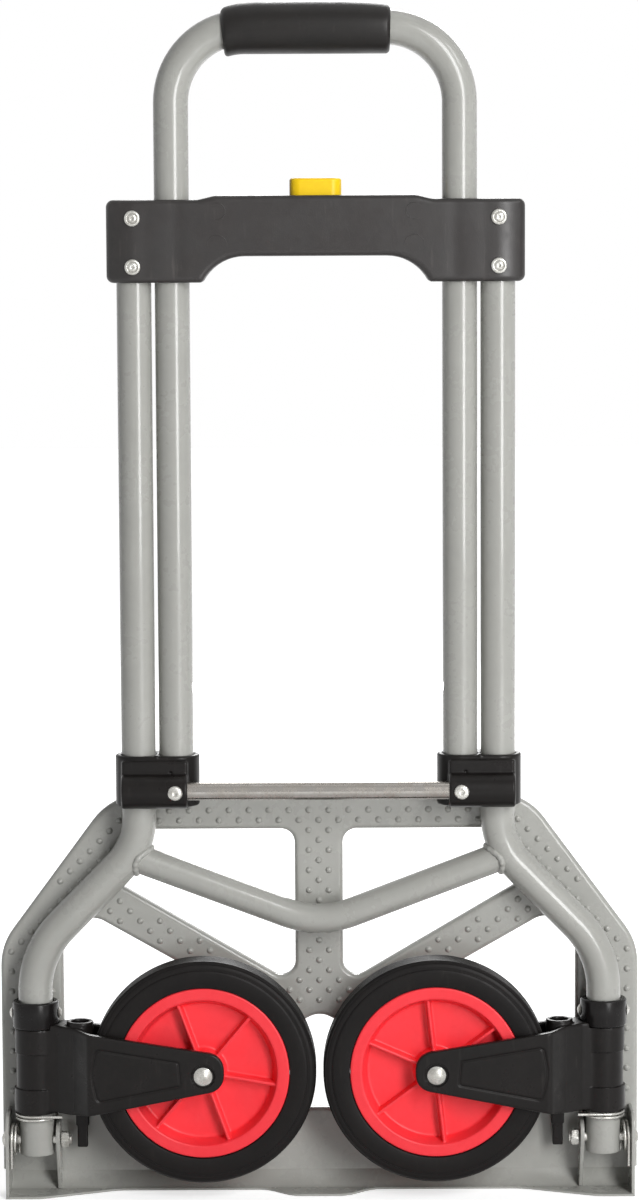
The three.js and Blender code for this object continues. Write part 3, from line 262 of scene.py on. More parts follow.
def roundedMeet(a, b, edge):
    # The part inside both a and b, with the edge between them rounded
    return np.sqrt(np.maximum(a + edge, 0) ** 2 + np.maximum(b + edge, 0) ** 2) + np.minimum(
        np.maximum(a + edge, b + edge), 0) - edge


def blendedJoin(a, b, fillet):
    # Both a and b, with a fillet in the corner between them
    near = np.maximum(fillet - np.abs(a - b), 0) / fillet
    return np.minimum(a, b) - near * near * fillet / 4


def outlineField(x, z, loop):
    # Distance to a closed outline, negative inside: least distance to its edges, and a count of crossings
    best = np.full(np.broadcast(x, z).shape, np.inf)
    within = np.zeros(best.shape, bool)
    for (ax, az), (bx, bz) in zip(loop, np.roll(loop, -1, axis=0)):
        ex, ez = bx - ax, bz - az
        share = np.clip(((x - ax) * ex + (z - az) * ez) / (ex * ex + ez * ez), 0, 1)
        best = np.minimum(best, (x - ax - share * ex) ** 2 + (z - az - share * ez) ** 2)
        if abs(ez) > 1e-9:
            crosses = ((az > z) != (bz > z)) & (x < ax + (z - az) * ex / ez)
            within = within ^ crosses
    return np.where(within, -1, 1) * np.sqrt(best)


def gridAxis(*stops):
    # Places along one axis: start, then pairs of an end and the step up to it
    parts, start = [], stops[0]
    for end, step in stops[1:]:
        count = max(1, round((end - start) / step))
        parts.append(start + (end - start) * np.arange(count) / count)
        start = end
    return np.append(np.concatenate(parts), start)


def mouldedShell(field, *axes):
    # Each grid cell that the surface crosses gets a point at the mean of its edges' crossings, moved on to the
    # surface along the slope. Each crossed grid edge becomes a quad between the four cells round it.
    value = np.broadcast_to(field(*np.meshgrid(*axes, indexing="ij", sparse=True)), [len(a) for a in axes])
    cells = [n - 1 for n in value.shape]
    total, count = np.zeros((*cells, 3)), np.zeros(cells)
    inside = value < 0
    for axis in range(3):
        others = [a for a in range(3) if a != axis]
        for shiftOne in (0, 1):
            for shiftTwo in (0, 1):
                begin = [0, 0, 0]
                begin[others[0]], begin[others[1]] = shiftOne, shiftTwo
                near = tuple(slice(b, b + n) for b, n in zip(begin, cells))
                far = tuple(slice(b + (a == axis), b + (a == axis) + n) for a, (b, n) in enumerate(zip(begin, cells)))
                crossed = inside[near] != inside[far]
                gap = np.where(crossed, value[near] - value[far], 1)
                total[..., axis] += np.where(crossed, value[near] / gap, 0)
                total[..., others[0]] += shiftOne * crossed
                total[..., others[1]] += shiftTwo * crossed
                count += crossed
    active = count > 0
    number = np.full(cells, -1)
    number[active] = np.arange(active.sum())
    share = total[active] / count[active][:, None]
    cell = np.argwhere(active)
    points = np.column_stack([axes[i][cell[:, i]] + share[:, i] * np.diff(axes[i])[cell[:, i]] for i in range(3)])
    step = min(np.diff(axis).min() for axis in axes)
    faces = []
    for axis in range(3):
        one, two = [a for a in range(3) if a != axis]
        if axis == 1:
            one, two = two, one
        low3 = [slice(1, n) for n in cells]
        low3[axis] = slice(0, cells[axis])
        high3 = list(low3)
        high3[axis] = slice(1, cells[axis] + 1)
        before, after = inside[tuple(low3)], inside[tuple(high3)]
        back = lambda a, b: tuple(
            slice(0, n) if i == axis else slice(1 - (a if i == one else b), n - (a if i == one else b))
            for i, n in enumerate(cells))
        ring = np.stack([number[back(1, 1)], number[back(0, 1)], number[back(0, 0)], number[back(1, 0)]], -1)
        faces += [ring[before & ~after], ring[~before & after][:, ::-1]]
    faces = np.concatenate(faces)
    for _ in range(2):
        height = field(*points.T)
        slope = np.stack([field(*(points + 0.2 * step * way).T) - field(*(points - 0.2 * step * way).T)
                          for way in np.eye(3)], -1) / (0.4 * step)
        size = np.maximum((slope ** 2).sum(1), 0.3)
        points = points - (np.clip(height, -step / 2, step / 2) / size)[:, None] * slope
    return points, faces


# Sheet metal: a profile carried round each outline, and the flats between them filled

def edgeStrip(loop, profile, closed=True):
    # A profile row is [distance into the metal from the outline, depth]. Gives rings of (across, up, depth).
    points, normals = loop
    profile = np.asarray(profile, float)
    flat = points[None] + profile[:, :1, None] * normals[None]
    depth = np.broadcast_to(profile[:, 1:, None], (*flat.shape[:2], 1))
    return np.concatenate([flat, depth], -1), gridFaces(len(profile), len(points), False, closed)


def filledFlat(loops):
    # Triangles inside the first outline and outside the others
    points = np.concatenate(loops)
    starts = np.cumsum([0] + [len(loop) for loop in loops])
    rings = [list(range(a, b)) for a, b in zip(starts, starts[1:])]
    found = delaunay_2d_cdt([Vector(p) for p in points], [], rings, 2, 1e-6)
    return np.array([tuple(p) for p in found[0]]), np.array([face for face in found[2]])


def roundedEdge(low, high, edge, steps=4):
    # The profile of a plate's edge: in from the low face, round to the outline, and back to the high face
    angle = np.linspace(0, np.pi / 2, steps + 1)
    near = np.column_stack([edge * (1 - np.sin(angle)), low + edge * (1 - np.cos(angle))])
    far = np.column_stack([near[::-1, 0], high + low - near[::-1, 1]])
    return np.concatenate([[[2 * edge, low]], near, far, [[2 * edge, high]]])


def plateShells(corners, holes, low, high, edge, place):
    # A flat plate with rounded edges. Place turns (across, up, depth) into X, Y, Z.
    points, normals = roundedLine(corners)
    loops = [(points, normals)]
    for centre, radius in holes:
        angle = np.linspace(0, 2 * np.pi, 24, endpoint=False)
        away = np.column_stack([np.cos(angle), np.sin(angle)])
        loops.append((np.array(centre) + radius * away, away))
    shells = []
    for loop in loops:
        strip, faces = edgeStrip(loop, roundedEdge(low, high, edge))
        shells.append((place(strip.reshape(-1, 3)), faces))
    flat, triangles = filledFlat([p + 2 * edge * n for p, n in loops])
    for depth in (low, high):
        shells.append((place(np.column_stack([flat, np.full(len(flat), depth)])), triangles))
    return shells


def asYZX(points):
    # Across and up become Y and Z, and depth becomes X
    return points[:, [2, 0, 1]]


def asXZY(points):
    # Across and up become X and Z, and depth becomes Y
    return points[:, [0, 2, 1]]


# Finishes

def linear(red, green, blue):
    # Screen colour from 0 to 255 as the light that it stands for
    share = np.array([red, green, blue]) / 255
    return (*np.where(share <= 0.04045, share / 12.92, ((share + 0.055) / 1.055) ** 2.4), 1.0)


def addNode(tree, kind, inputs=None, **settings):
    # A shader node. Each input is a value for the socket, or another node's output that is linked to it.
    node = tree.nodes.new("ShaderNode" + kind)
    for key, value in settings.items():
        setattr(node, key, value)
    for key, value in (inputs or {}).items():
        if isinstance(value, bpy.types.NodeSocket):
            tree.links.new(value, node.inputs[key])
        else:
            node.inputs[key].default_value = value
    return node


def addMath(tree, operation, first, second=0.0, clamp=False):
    # The result of one operation on two numbers
    return addNode(tree, "Math", {0: first, 1: second}, operation=operation, use_clamp=clamp).outputs[0]


def addRange(tree, value, low, high, start=0.0, end=1.0):
    # The value's place between low and high, as a place between start and end
    return addNode(tree, "MapRange", {0: value, 1: low, 2: high, 3: start, 4: end}).outputs[0]


def addNoise(tree, place, scale, detail):
    # Noise between 0 and 1
    return addNode(tree, "TexNoise", {"Vector": place, "Scale": scale, "Detail": detail}).outputs[0]


def mixColour(tree, share, first, second):
    # The first colour where the share is 0, the second where it is 1
    return addNode(tree, "Mix", {0: share, 6: first, 7: second}, data_type="RGBA").outputs[2]


def startGroup(name, result, **inputs):
    # A group with numbers in and one number out. Gives the group, its Object coordinates and its given numbers.
    group = bpy.data.node_groups.new(name, "ShaderNodeTree")
    for socket, start in inputs.items():
        group.interface.new_socket(socket, in_out="INPUT", socket_type="NodeSocketFloat").default_value = start
    group.interface.new_socket(result, in_out="OUTPUT", socket_type="NodeSocketFloat")
    given = group.nodes.new("NodeGroupInput").outputs
    return group, addNode(group, "TexCoord").outputs["Object"], [given[socket] for socket in inputs]


def endGroup(group, value):
    # Leads the value out of the group
    group.links.new(value, group.nodes.new("NodeGroupOutput").inputs[0])
    return group


def makeCloudGroup():
    # Soft uneven tone: two sizes of noise added and spread round one half
    group, place, (scale, contrast) = startGroup("unevenTone", "Tone", Scale=60.0, Contrast=1.0)
    wide = addNoise(group, place, scale, 4.0)
    fine = addNoise(group, place, addMath(group, "MULTIPLY", scale, 7.3), 3.0)
    mixed = addMath(group, "ADD", addMath(group, "MULTIPLY", wide, 0.65), addMath(group, "MULTIPLY", fine, 0.35))
    spread = addMath(group, "MULTIPLY", addMath(group, "SUBTRACT", mixed, 0.5), contrast)
    return endGroup(group, addMath(group, "ADD", addMath(group, "MULTIPLY", spread, 3.0), 0.5, True))


def makeGrainGroup():
    # Surface height: cells give the pebbled part of a grain, and noise its soft part
    group, place, (scale, share) = startGroup("surfaceGrain", "Height", Scale=900.0, Pebbled=0.5)
    cells = addNode(group, "TexVoronoi", {"Vector": place, "Scale": scale}, feature="SMOOTH_F1").outputs[0]
    pebbled = addMath(group, "MULTIPLY", cells, share)
    soft = addMath(group, "MULTIPLY", addNoise(group, place, scale, 2.0), addMath(group, "SUBTRACT", 1.0, share))
    return endGroup(group, addMath(group, "ADD", pebbled, soft))


def makeScuffGroup():
    # Fine rubbed lines in patches: noise stretched ten times along two slanting ways, with only its peaks kept
    group, place, (scale, amount) = startGroup("rubbedLines", "Mask", Scale=120.0, Amount=0.3)
    masks = []
    for turn in ((0.3, 0.2, 0.9), (1.1, 0.5, -0.4)):
        way = addNode(group, "Mapping", {"Vector": place, "Rotation": turn, "Scale": (1.0, 1.0, 0.1)}).outputs[0]
        masks.append(addRange(group, addNoise(group, way, addMath(group, "MULTIPLY", scale, 6.0), 3.0), 0.62, 0.74))
    where = addRange(group, addNoise(group, place, scale, 2.0), 0.45, 0.62)
    lines = addMath(group, "MULTIPLY", addMath(group, "MAXIMUM", *masks), where)
    return endGroup(group, addMath(group, "MULTIPLY", lines, amount, True))


def makeEdgeGroup():
    # Worn edges: sharp outward bends of the mesh, broken up by noise
    group, place, (scale, amount) = startGroup("wornEdges", "Mask", Scale=300.0, Amount=0.5)
    edge = addRange(group, addNode(group, "NewGeometry").outputs["Pointiness"], 0.53, 0.62)
    broken = addRange(group, addNoise(group, place, scale, 3.0), 0.38, 0.62)
    return endGroup(group, addMath(group, "MULTIPLY", addMath(group, "MULTIPLY", edge, broken), amount, True))


def makeDustGroup():
    # Dust: more on faces that look up, in soft patches
    group, place, (scale, amount) = startGroup("settledDust", "Mask", Scale=90.0, Amount=0.2)
    upward = addNode(group, "SeparateXYZ", {0: addNode(group, "NewGeometry").outputs["Normal"]}).outputs[2]
    facing = addRange(group, upward, -0.2, 1.0, 0.15, 1.0)
    patches = addRange(group, addNoise(group, place, scale, 5.0), 0.4, 0.7)
    return endGroup(group, addMath(group, "MULTIPLY", addMath(group, "MULTIPLY", facing, patches), amount, True))


cloudGroup, grainGroup, scuffGroup = makeCloudGroup(), makeGrainGroup(), makeScuffGroup()
edgeGroup, dustGroup = makeEdgeGroup(), makeDustGroup()
usualGloss = {"metallic": 0.0, "specular": 0.5, "coat": 0.0, "coatRoughness": 0.1}
glossSockets = {"metallic": "Metallic", "specular": "Specular IOR Level", "coat": "Coat Weight",
                "coatRoughness": "Coat Roughness"}


def useGroup(tree, group, **values):
    # The result of a shared group with these values
    node = tree.nodes.new("ShaderNodeGroup")
    node.node_tree = group
    for key, value in values.items():
        node.inputs[key].default_value = value
    return node.outputs[0]


def makeFinish(name, look):
    # Colour: two tones by cloud, then dust, rubbed lines and worn edges over them. Bump: grain over a wider waviness.
    material = bpy.data.materials.new(name)
    material.use_nodes = True
    tree = material.node_tree
    shader = tree.nodes["Principled BSDF"]
    tone = useGroup(tree, cloudGroup, Scale=look["cloud"], Contrast=look["contrast"])
    dust = useGroup(tree, dustGroup, Scale=90.0, Amount=look["dust"])
    scuffs = useGroup(tree, scuffGroup, Scale=look["scuffScale"], Amount=look["scuffs"])
    worn = useGroup(tree, edgeGroup, Scale=300.0, Amount=look["worn"])
    colour = linear(*look["colour"])
    for share, over in ((tone, "otherColour"), (dust, "dustColour"), (scuffs, "wornColour"), (worn, "wornColour")):
        colour = mixColour(tree, share, colour, linear(*look[over]))
    tree.links.new(colour, shader.inputs["Base Color"])
    rough = addRange(tree, tone, 0.0, 1.0, *look["roughness"])
    rough = addMath(tree, "ADD", rough, addMath(tree, "MULTIPLY", scuffs, 0.25), True)
    tree.links.new(rough, shader.inputs["Roughness"])
    grain = useGroup(tree, grainGroup, Scale=look["grain"], Pebbled=look["pebbled"])
    fine = addNode(tree, "Bump", {"Height": grain, "Distance": look["grainDepth"] * millimetre})
    wave = useGroup(tree, grainGroup, Scale=look["wave"], Pebbled=0.0)
    wide = addNode(tree, "Bump", {"Height": wave, "Distance": look["waveDepth"] * millimetre,
                                  "Normal": fine.outputs[0]})
    tree.links.new(wide.outputs[0], shader.inputs["Normal"])
    for key, value in {**usualGloss, **look}.items():
        if key in glossSockets:
            shader.inputs[glossSockets[key]].default_value = value
    material.diffuse_color = linear(*look["colour"])
    return material


# Powder coat with a slight orange peel
greyPaint = makeFinish("greyPaint", {
    "colour": (163, 163, 158), "otherColour": (157, 157, 152), "cloud": 25.0, "contrast": 1.0,
    "dust": 0.10, "dustColour": (176, 172, 163), "scuffScale": 30.0, "scuffs": 0.10, "worn": 0.25,
    "wornColour": (186, 186, 182), "roughness": (0.24, 0.32), "grain": 700.0, "pebbled": 0.2, "grainDepth": 0.008,
    "wave": 160.0, "waveDepth": 0.02, "specular": 0.35, "coat": 0.36, "coatRoughness": 0.06,
})
# Moulded plastic with a fine spark-eroded grain
blackPlastic = makeFinish("blackPlastic", {
    "colour": (23, 20, 19), "otherColour": (16, 14, 13), "cloud": 35.0, "contrast": 1.3,
    "dust": 0.06, "dustColour": (82, 77, 73), "scuffScale": 60.0, "scuffs": 0.14, "worn": 0.16,
    "wornColour": (76, 72, 69), "roughness": (0.26, 0.38), "grain": 1700.0, "pebbled": 0.6, "grainDepth": 0.035,
    "wave": 120.0, "waveDepth": 0.05, "specular": 0.16,
})
# The same plastic on the large shells, duller and a little brown, with a mottled face
shellPlastic = makeFinish("shellPlastic", {
    "colour": (32, 28, 27), "otherColour": (23, 20, 19), "cloud": 22.0, "contrast": 1.7,
    "dust": 0.10, "dustColour": (100, 93, 89), "scuffScale": 45.0, "scuffs": 0.2, "worn": 0.14,
    "wornColour": (88, 82, 79), "roughness": (0.34, 0.46), "grain": 1700.0, "pebbled": 0.6, "grainDepth": 0.035,
    "wave": 90.0, "waveDepth": 0.07, "specular": 0.44,
})
# Polished plastic collars
glossPlastic = makeFinish("glossPlastic", {
    "colour": (24, 22, 22), "otherColour": (18, 16, 16), "cloud": 50.0, "contrast": 0.8,
    "dust": 0.05, "dustColour": (84, 80, 76), "scuffScale": 80.0, "scuffs": 0.15, "worn": 0.12,
    "wornColour": (84, 80, 78), "roughness": (0.20, 0.30), "grain": 900.0, "pebbled": 0.3, "grainDepth": 0.01,
    "wave": 150.0, "waveDepth": 0.04, "specular": 0.16,
})
gripFoam = makeFinish("gripFoam", {
    "colour": (20, 17, 15), "otherColour": (14, 12, 11), "cloud": 40.0, "contrast": 1.2,
    "dust": 0.04, "dustColour": (74, 70, 66), "scuffScale": 70.0, "scuffs": 0.08, "worn": 0.06,
    "wornColour": (78, 74, 70), "roughness": (0.38, 0.5), "grain": 1500.0, "pebbled": 0.8, "grainDepth": 0.05,
    "wave": 200.0, "waveDepth": 0.05, "specular": 0.25,
})
yellowPlastic = makeFinish("yellowPlastic", {
    "colour": (250, 212, 24), "otherColour": (246, 202, 18), "cloud": 60.0, "contrast": 0.8,
    "dust": 0.05, "dustColour": (214, 196, 120), "scuffScale": 90.0, "scuffs": 0.08, "worn": 0.12,
    "wornColour": (246, 224, 110), "roughness": (0.34, 0.44), "grain": 1500.0, "pebbled": 0.5, "grainDepth": 0.015,
    "wave": 200.0, "waveDepth": 0.03, "specular": 0.3,
})
redPlastic = makeFinish("redPlastic", {
    "colour": (246, 56, 66), "otherColour": (240, 48, 58), "cloud": 40.0, "contrast": 0.9,
    "dust": 0.08, "dustColour": (214, 120, 112), "scuffScale": 70.0, "scuffs": 0.10, "worn": 0.12,
    "wornColour": (236, 96, 98), "roughness": (0.36, 0.46), "grain": 1400.0, "pebbled": 0.5, "grainDepth": 0.015,
    "wave": 150.0, "waveDepth": 0.04, "specular": 0.35,
})
tyreRubber = makeFinish("tyreRubber", {
    "colour": (17, 14, 13), "otherColour": (11, 9, 9), "cloud": 45.0, "contrast": 1.3,
    "dust": 0.09, "dustColour": (76, 70, 66), "scuffScale": 60.0, "scuffs": 0.14, "worn": 0.10,
    "wornColour": (64, 60, 56), "roughness": (0.42, 0.56), "grain": 1100.0, "pebbled": 0.4, "grainDepth": 0.04,
    "wave": 180.0, "waveDepth": 0.06, "specular": 0.14,
})
zincSteel = makeFinish("zincSteel", {
    "colour": (198, 197, 192), "otherColour": (158, 156, 150), "cloud": 160.0, "contrast": 1.6,
    "dust": 0.05, "dustColour": (150, 144, 132), "scuffScale": 200.0, "scuffs": 0.25, "worn": 0.2,
    "wornColour": (232, 232, 228), "roughness": (0.2, 0.38), "grain": 900.0, "pebbled": 0.5, "grainDepth": 0.05,
    "wave": 500.0, "waveDepth": 0.2, "metallic": 0.72,
})
chromeSteel = makeFinish("chromeSteel", {
    "colour": (152, 149, 145), "otherColour": (138, 133, 127), "cloud": 90.0, "contrast": 1.2,
    "dust": 0.04, "dustColour": (150, 144, 134), "scuffScale": 150.0, "scuffs": 0.3, "worn": 0.0,
    "wornColour": (150, 140, 130), "roughness": (0.16, 0.34), "grain": 1200.0, "pebbled": 0.3, "grainDepth": 0.006,
    "wave": 220.0, "waveDepth": 0.03, "metallic": 1.0,
})
print("finishes made")


# Steel tubes

tube = {"radius": 11.0, "wall": 1.5, "lip": 0.4, "sides": 48, "spacing": 4.0}


def tubeRows(length, radius, spacing):
    # Along the outside, over the rounded lip, back along the inside, and over the first lip
    lip, inside = tube["lip"], radius - tube["wall"]
    stops = np.linspace(lip, length - lip, int(length / spacing))
    return np.concatenate([
        np.column_stack([stops, np.full(len(stops), radius)]),
        [[length - lip * 0.3, radius - lip * 0.3], [length, radius - lip], [length, inside + lip * 0.4]],
        np.column_stack([stops[::-1], np.full(len(stops), inside)]),
        [[0, inside + lip * 0.4], [0, radius - lip], [lip * 0.3, radius - lip * 0.3]],
    ])


def tubeShell(at, length):
    # A bent tube: the outline of its wall carried along the path
    return carriedRings(at, tubeRows(length, tube["radius"], tube["spacing"]), tube["sides"], alongY, True)


framePath, frameLength = bentPath([(-truck["leg"], 0, 27), (-truck["leg"], 0, 157.6), (-truck["frameTube"], 0, 226.6),
                                   (-truck["frameTube"], 0, 629)], [60, 45])
bothSides("frameTube", [tubeShell(framePath, frameLength)], greyPaint, "frame", "frame_tube")

brace = {"radius": 9.3, "wall": 1.5, "bend": 60}
bracePath, braceLength = bentPath([(-126, 0, 222.8), (0, 0, 175.1), (126, 0, 222.8)], [brace["bend"]])
frameLine = framePath(np.linspace(frameLength * 0.2, frameLength * 0.5, 160))[0]


def copeDistance(radius, angle):
    # For each direction round the brace, the first distance along it that is clear of the frame tube
    tries = np.linspace(0, 40, 240)
    place, heading = bracePath(tries)
    second = np.cross(heading, alongY)
    ring = np.cos(angle)[None, :, None] * alongY + np.sin(angle)[None, :, None] * second[:, None]
    surface = place[:, None] + radius * ring
    gap = np.sqrt(((surface[:, :, None] - frameLine) ** 2).sum(-1).min(-1)) - tube["radius"]
    last = len(tries) - 1 - np.argmax((gap < 0)[::-1], axis=0)
    return tries[last]


def braceShell():
    # Each line along the brace runs from its own cope on the left to the same cope on the right, out and back inside
    angle = 2 * np.pi * np.arange(tube["sides"]) / tube["sides"]
    shares = np.linspace(0, 1, 90)
    rings = []
    for radius, share in ((brace["radius"], shares), (brace["radius"] - brace["wall"], shares[::-1])):
        begin = copeDistance(radius, angle)
        distance = begin + (braceLength - 2 * begin) * share[:, None]
        place, heading = bracePath(distance.ravel())
        around = np.tile(angle, len(share))[:, None]
        rings.append(place + radius * (np.cos(around) * alongY + np.sin(around) * np.cross(heading, alongY)))
    return np.concatenate(rings), gridFaces(2 * len(shares), len(angle), True)


makePiece("vBrace", [braceShell()], greyPaint, "frame", ["v_brace"])

weld = {"radius": 2.1, "ripple": 0.16, "ripples": 15, "stations": 180, "sides": 12}


def weldShell():
    # A bead round the joint line of brace and frame tube. Its radius is the bead's, plus a ripple along it.
    angle = np.linspace(0, 2 * np.pi, weld["stations"], endpoint=False)
    place, heading = bracePath(copeDistance(brace["radius"], angle))
    out = np.cos(angle)[:, None] * alongY + np.sin(angle)[:, None] * np.cross(heading, alongY)
    line = place + (brace["radius"] + 0.1) * out
    line = (line + np.roll(line, 1, 0) + np.roll(line, -1, 0)) / 3
    tangent = unitRows(np.roll(line, -1, 0) - np.roll(line, 1, 0))
    first = np.cross(tangent, out)
    ripple = weld["ripple"] * np.sin(weld["ripples"] * angle) * (1 + 0.4 * np.sin(3.7 * angle + 1))
    radius = (weld["radius"] + ripple)[:, None]
    return ringShell(line, first, np.cross(tangent, first), radius, weld["sides"], True)


makePiece("braceWelds", [weldShell(), mirrored(weldShell())], greyPaint, "frame", crease=80)

reach, handleFoot, handleTop = truck["handleTube"], 257.5, 743
handlePath, handleLength = bentPath([(-reach, 0, handleFoot), (-reach, 0, handleTop), (reach, 0, handleTop),
                                     (reach, 0, handleFoot)], [46.5, 46.5])
lockHoles = {"radius": 4.35, "heights": (618, 328), "spans": ((-90, -70), (70, 90))}


def drill(piece, shells):
    # Cuts the shells out of the piece, and keeps the result in its mesh
    points, faces = joinShells(shells)
    cutter = addObject("cutter", bpy.data.meshes.new("cutter"))
    cutter.data.from_pydata((points * millimetre).tolist(), [], np.concatenate(faces).tolist())
    closeUp(cutter.data)
    modifier = piece.modifiers.new("holes", "BOOLEAN")
    modifier.operation, modifier.object, modifier.solver = "DIFFERENCE", cutter, "EXACT"
    bpy.context.view_layer.update()
    drilled = bpy.data.meshes.new_from_object(piece.evaluated_get(bpy.context.evaluated_depsgraph_get()))
    piece.modifiers.clear()
    piece.data = drilled
    bpy.data.objects.remove(cutter)
    smoothUp(drilled, 35)


handleTube = makePiece("handleTube", [tubeShell(handlePath, handleLength)], greyPaint, "handle", ["handle_tube"])
holeRods = []
for height in lockHoles["heights"]:
    for start, end in lockHoles["spans"]:
        rows = [(start, 0), (start, lockHoles["radius"]), (end, lockHoles["radius"]), (end, 0)]
        holeRods.append(turnedShell((0, 0, height), alongX, rows, 32))
drill(handleTube, holeRods)

grip = {"length": 105, "shift": -5.4, "bore": 11.2, "bottom": 16.5, "topMiddle": 15.9, "topEnd": 13.6, "corner": 3.0,
        "inset": 9, "lean": 0.32, "stations": 46, "sides": 64}


def gripLine(distance):
    # Places on the handle, and the upward direction there, which leans with the tube by a third only
    place, heading = handlePath(distance)
    return place, unitRows(np.cross(heading * [1, 1, grip["lean"]], alongY))


def gripShell():
    # Half height above the tube's axis: topEnd + (topMiddle - topEnd) (1 - u^4), with u from -1 to 1 along the grip.
    # The radius blends from the bottom's to the top's with the sine of the angle, and falls away at both ends.
    middle, half, corner, sides = handleLength / 2 + grip["shift"], grip["length"] / 2, grip["corner"], grip["sides"]
    bend = np.linspace(0, np.pi / 2, 7)
    shoulder, fall = corner * (1 - np.cos(bend)), corner * (1 - np.sin(bend))
    straight = np.linspace(-half + corner, half - corner, grip["stations"])[1:-1]
    along = np.concatenate([[-half], -half + shoulder, straight, half - shoulder[::-1], [half]])
    inset = np.concatenate([[grip["inset"]], fall, np.zeros(len(straight)), fall[::-1], [grip["inset"]]])
    top = (grip["topEnd"] + (grip["topMiddle"] - grip["topEnd"]) * (1 - (along / half) ** 4))[:, None]
    sine = np.sin(2 * np.pi * np.arange(sides) / sides)
    radius = (top + grip["bottom"]) / 2 + (top - grip["bottom"]) / 2 * sine - inset[:, None]
    place, upward = gripLine(middle + along)
    outer = ringShell(place, alongY, upward, np.maximum(radius, grip["bore"]), sides)[0]
    place, upward = gripLine(middle + along[::-3])
    inner = ringShell(place, alongY, upward, grip["bore"], sides)[0]
    return np.concatenate([outer, inner]), gridFaces(len(along) + len(place), sides, True)


makePiece("grip", [gripShell()], gripFoam, "handle", ["grip"], crease=50)

bar = {"radius": 5.75, "half": 98, "depth": -18.6, "height": 264.6, "sides": 40, "spacing": 6}
barPath = lineFrom(np.array([-bar["half"], bar["depth"], bar["height"]]), alongX)
barRows = tubeRows(2 * bar["half"], bar["radius"], bar["spacing"])
barShell = carriedRings(barPath, barRows, bar["sides"], alongY, True)
makePiece("crossBar", [barShell], chromeSteel, "handle", ["cross_bar"])
print("tubes, grip and bar made")


# Fasteners: rows of (distance, radius, flat), from the outer face inwards

def domeRows(radius, height, steps=6):
    # From the crown out to the rim, at height (1 - s^2.4) above it, with s the share of the radius
    share = np.linspace(0, 1, steps)
    return [(-height * (1 - s ** 2.4), radius * s) for s in share]


shellRivet = {"radius": 5.0, "height": 1.8, "seat": 16.1, "heights": (624.8, 594.6)}


def shellRivetRows():
    # A flat ring, a groove, a raised inner ring with a small socket, then the shank, and the same again behind
    height, radius, seat = shellRivet["height"], shellRivet["radius"], shellRivet["seat"]
    front = [(0.9, 0), (0.8, 0.9, 0.85), (-0.15, 1.1, 0.95), (-0.3, 1.35), (-0.25, 2.0), (0.1, 2.6), (0.55, 2.8),
             (0.55, 3.1), (0.1, 3.35), (0, 3.7), (0.12, 4.3), (0.5, 4.8), (1.0, radius), (height, radius * 0.99)]
    near = [(-seat - height + row[0], *row[1:]) for row in front] + [(-seat, 2.5)]
    return near + [(-row[0], *row[1:]) for row in near[::-1]]


for place, height in zip(("upper", "lower"), shellRivet["heights"]):
    rivet = turnedShell((-truck["frameTube"], 0, height), alongY, shellRivetRows())
    bothSides(f"{place}ShellRivet", [rivet], zincSteel, "frame", f"housing_rivet_{place}", crease=28)

carriageScrew = {"radius": 4.7, "height": 2.2, "across": 3.0, "depth": 1.6, "seat": -27.2, "shank": 2.4,
                 "length": 18.5}


def screwRows():
    # A domed head with a hexagon socket: the socket's floor, walls and bevelled mouth, the crown, then the shank
    radius, height, shank = carriageScrew["radius"], carriageScrew["height"], carriageScrew["shank"]
    flat, length, floor = carriageScrew["across"] / 2, carriageScrew["length"], -height + carriageScrew["depth"]
    crown, mouth = -height, flat * 1.32
    return [(floor + 0.4, 0), (floor, flat * 1.1, flat), (crown + 0.25, flat * 1.16, flat), (crown, mouth),
            (crown, mouth + 0.25), (crown + 0.05 * height, radius * 0.62), (crown + 0.22 * height, radius * 0.84),
            (crown + 0.55 * height, radius * 0.97), (-0.15, radius), (0, radius * 0.98), (0, shank), (length, shank),
            (length, 0)]


screwPlace = (-truck["handleTube"], carriageScrew["seat"], bar["height"])
bothSides("carriageScrew", [turnedShell(screwPlace, alongY, screwRows())], zincSteel, "handle", "carriage_screw",
          crease=28)

collarRivet = {"radius": 3.8, "height": 1.8, "seat": 14.9, "shank": 2.1, "place": 119, "sides": 28}


def collarRivetRows():
    # A domed head on the collar, then the shank, and the same again at the other end
    radius, seat = collarRivet["radius"], collarRivet["seat"]
    head = [(row[0] - seat, row[1]) for row in domeRows(radius, collarRivet["height"])]
    head += [(-seat + 0.2, radius * 0.96), (-seat + 0.2, collarRivet["shank"])]
    return head + [(-row[0], row[1]) for row in head[::-1]]


rivet = turnedShell((-truck["leg"], 0, collarRivet["place"]), alongX, collarRivetRows(), collarRivet["sides"])
bothSides("collarRivet", [rivet], zincSteel, "frame", "collar_rivet")

hingeBolt = {"head": 6.0, "height": 3.0, "seat": -19.8, "shank": 3.5, "plain": 12.0, "thread": 12.4, "end": 22.3,
             "threadDepth": 0.22, "pitch": 0.9}


def hingeBoltRows():
    # A domed head, a plain shank, a thread of small steps, and a bevelled end
    head, seat, shank, end = [hingeBolt[key] for key in ("head", "seat", "shank", "end")]
    rows = [(seat + row[0], row[1]) for row in domeRows(head, hingeBolt["height"])]
    rows += [(seat, head * 0.97), (seat, shank), (hingeBolt["plain"], shank)]
    stops = np.arange(hingeBolt["thread"], end - 0.6, hingeBolt["pitch"] / 2)
    rows += [(stop, shank - hingeBolt["threadDepth"] * (i % 2)) for i, stop in enumerate(stops)]
    return rows + [(end - 0.4, shank - 0.1), (end, shank - 0.6), (end, 0)]


bothSides("hingeBolt", [turnedShell((-truck["leg"], 0, truck["hinge"]), alongX, hingeBoltRows())], zincSteel, "frame",
          "hinge_bolt")


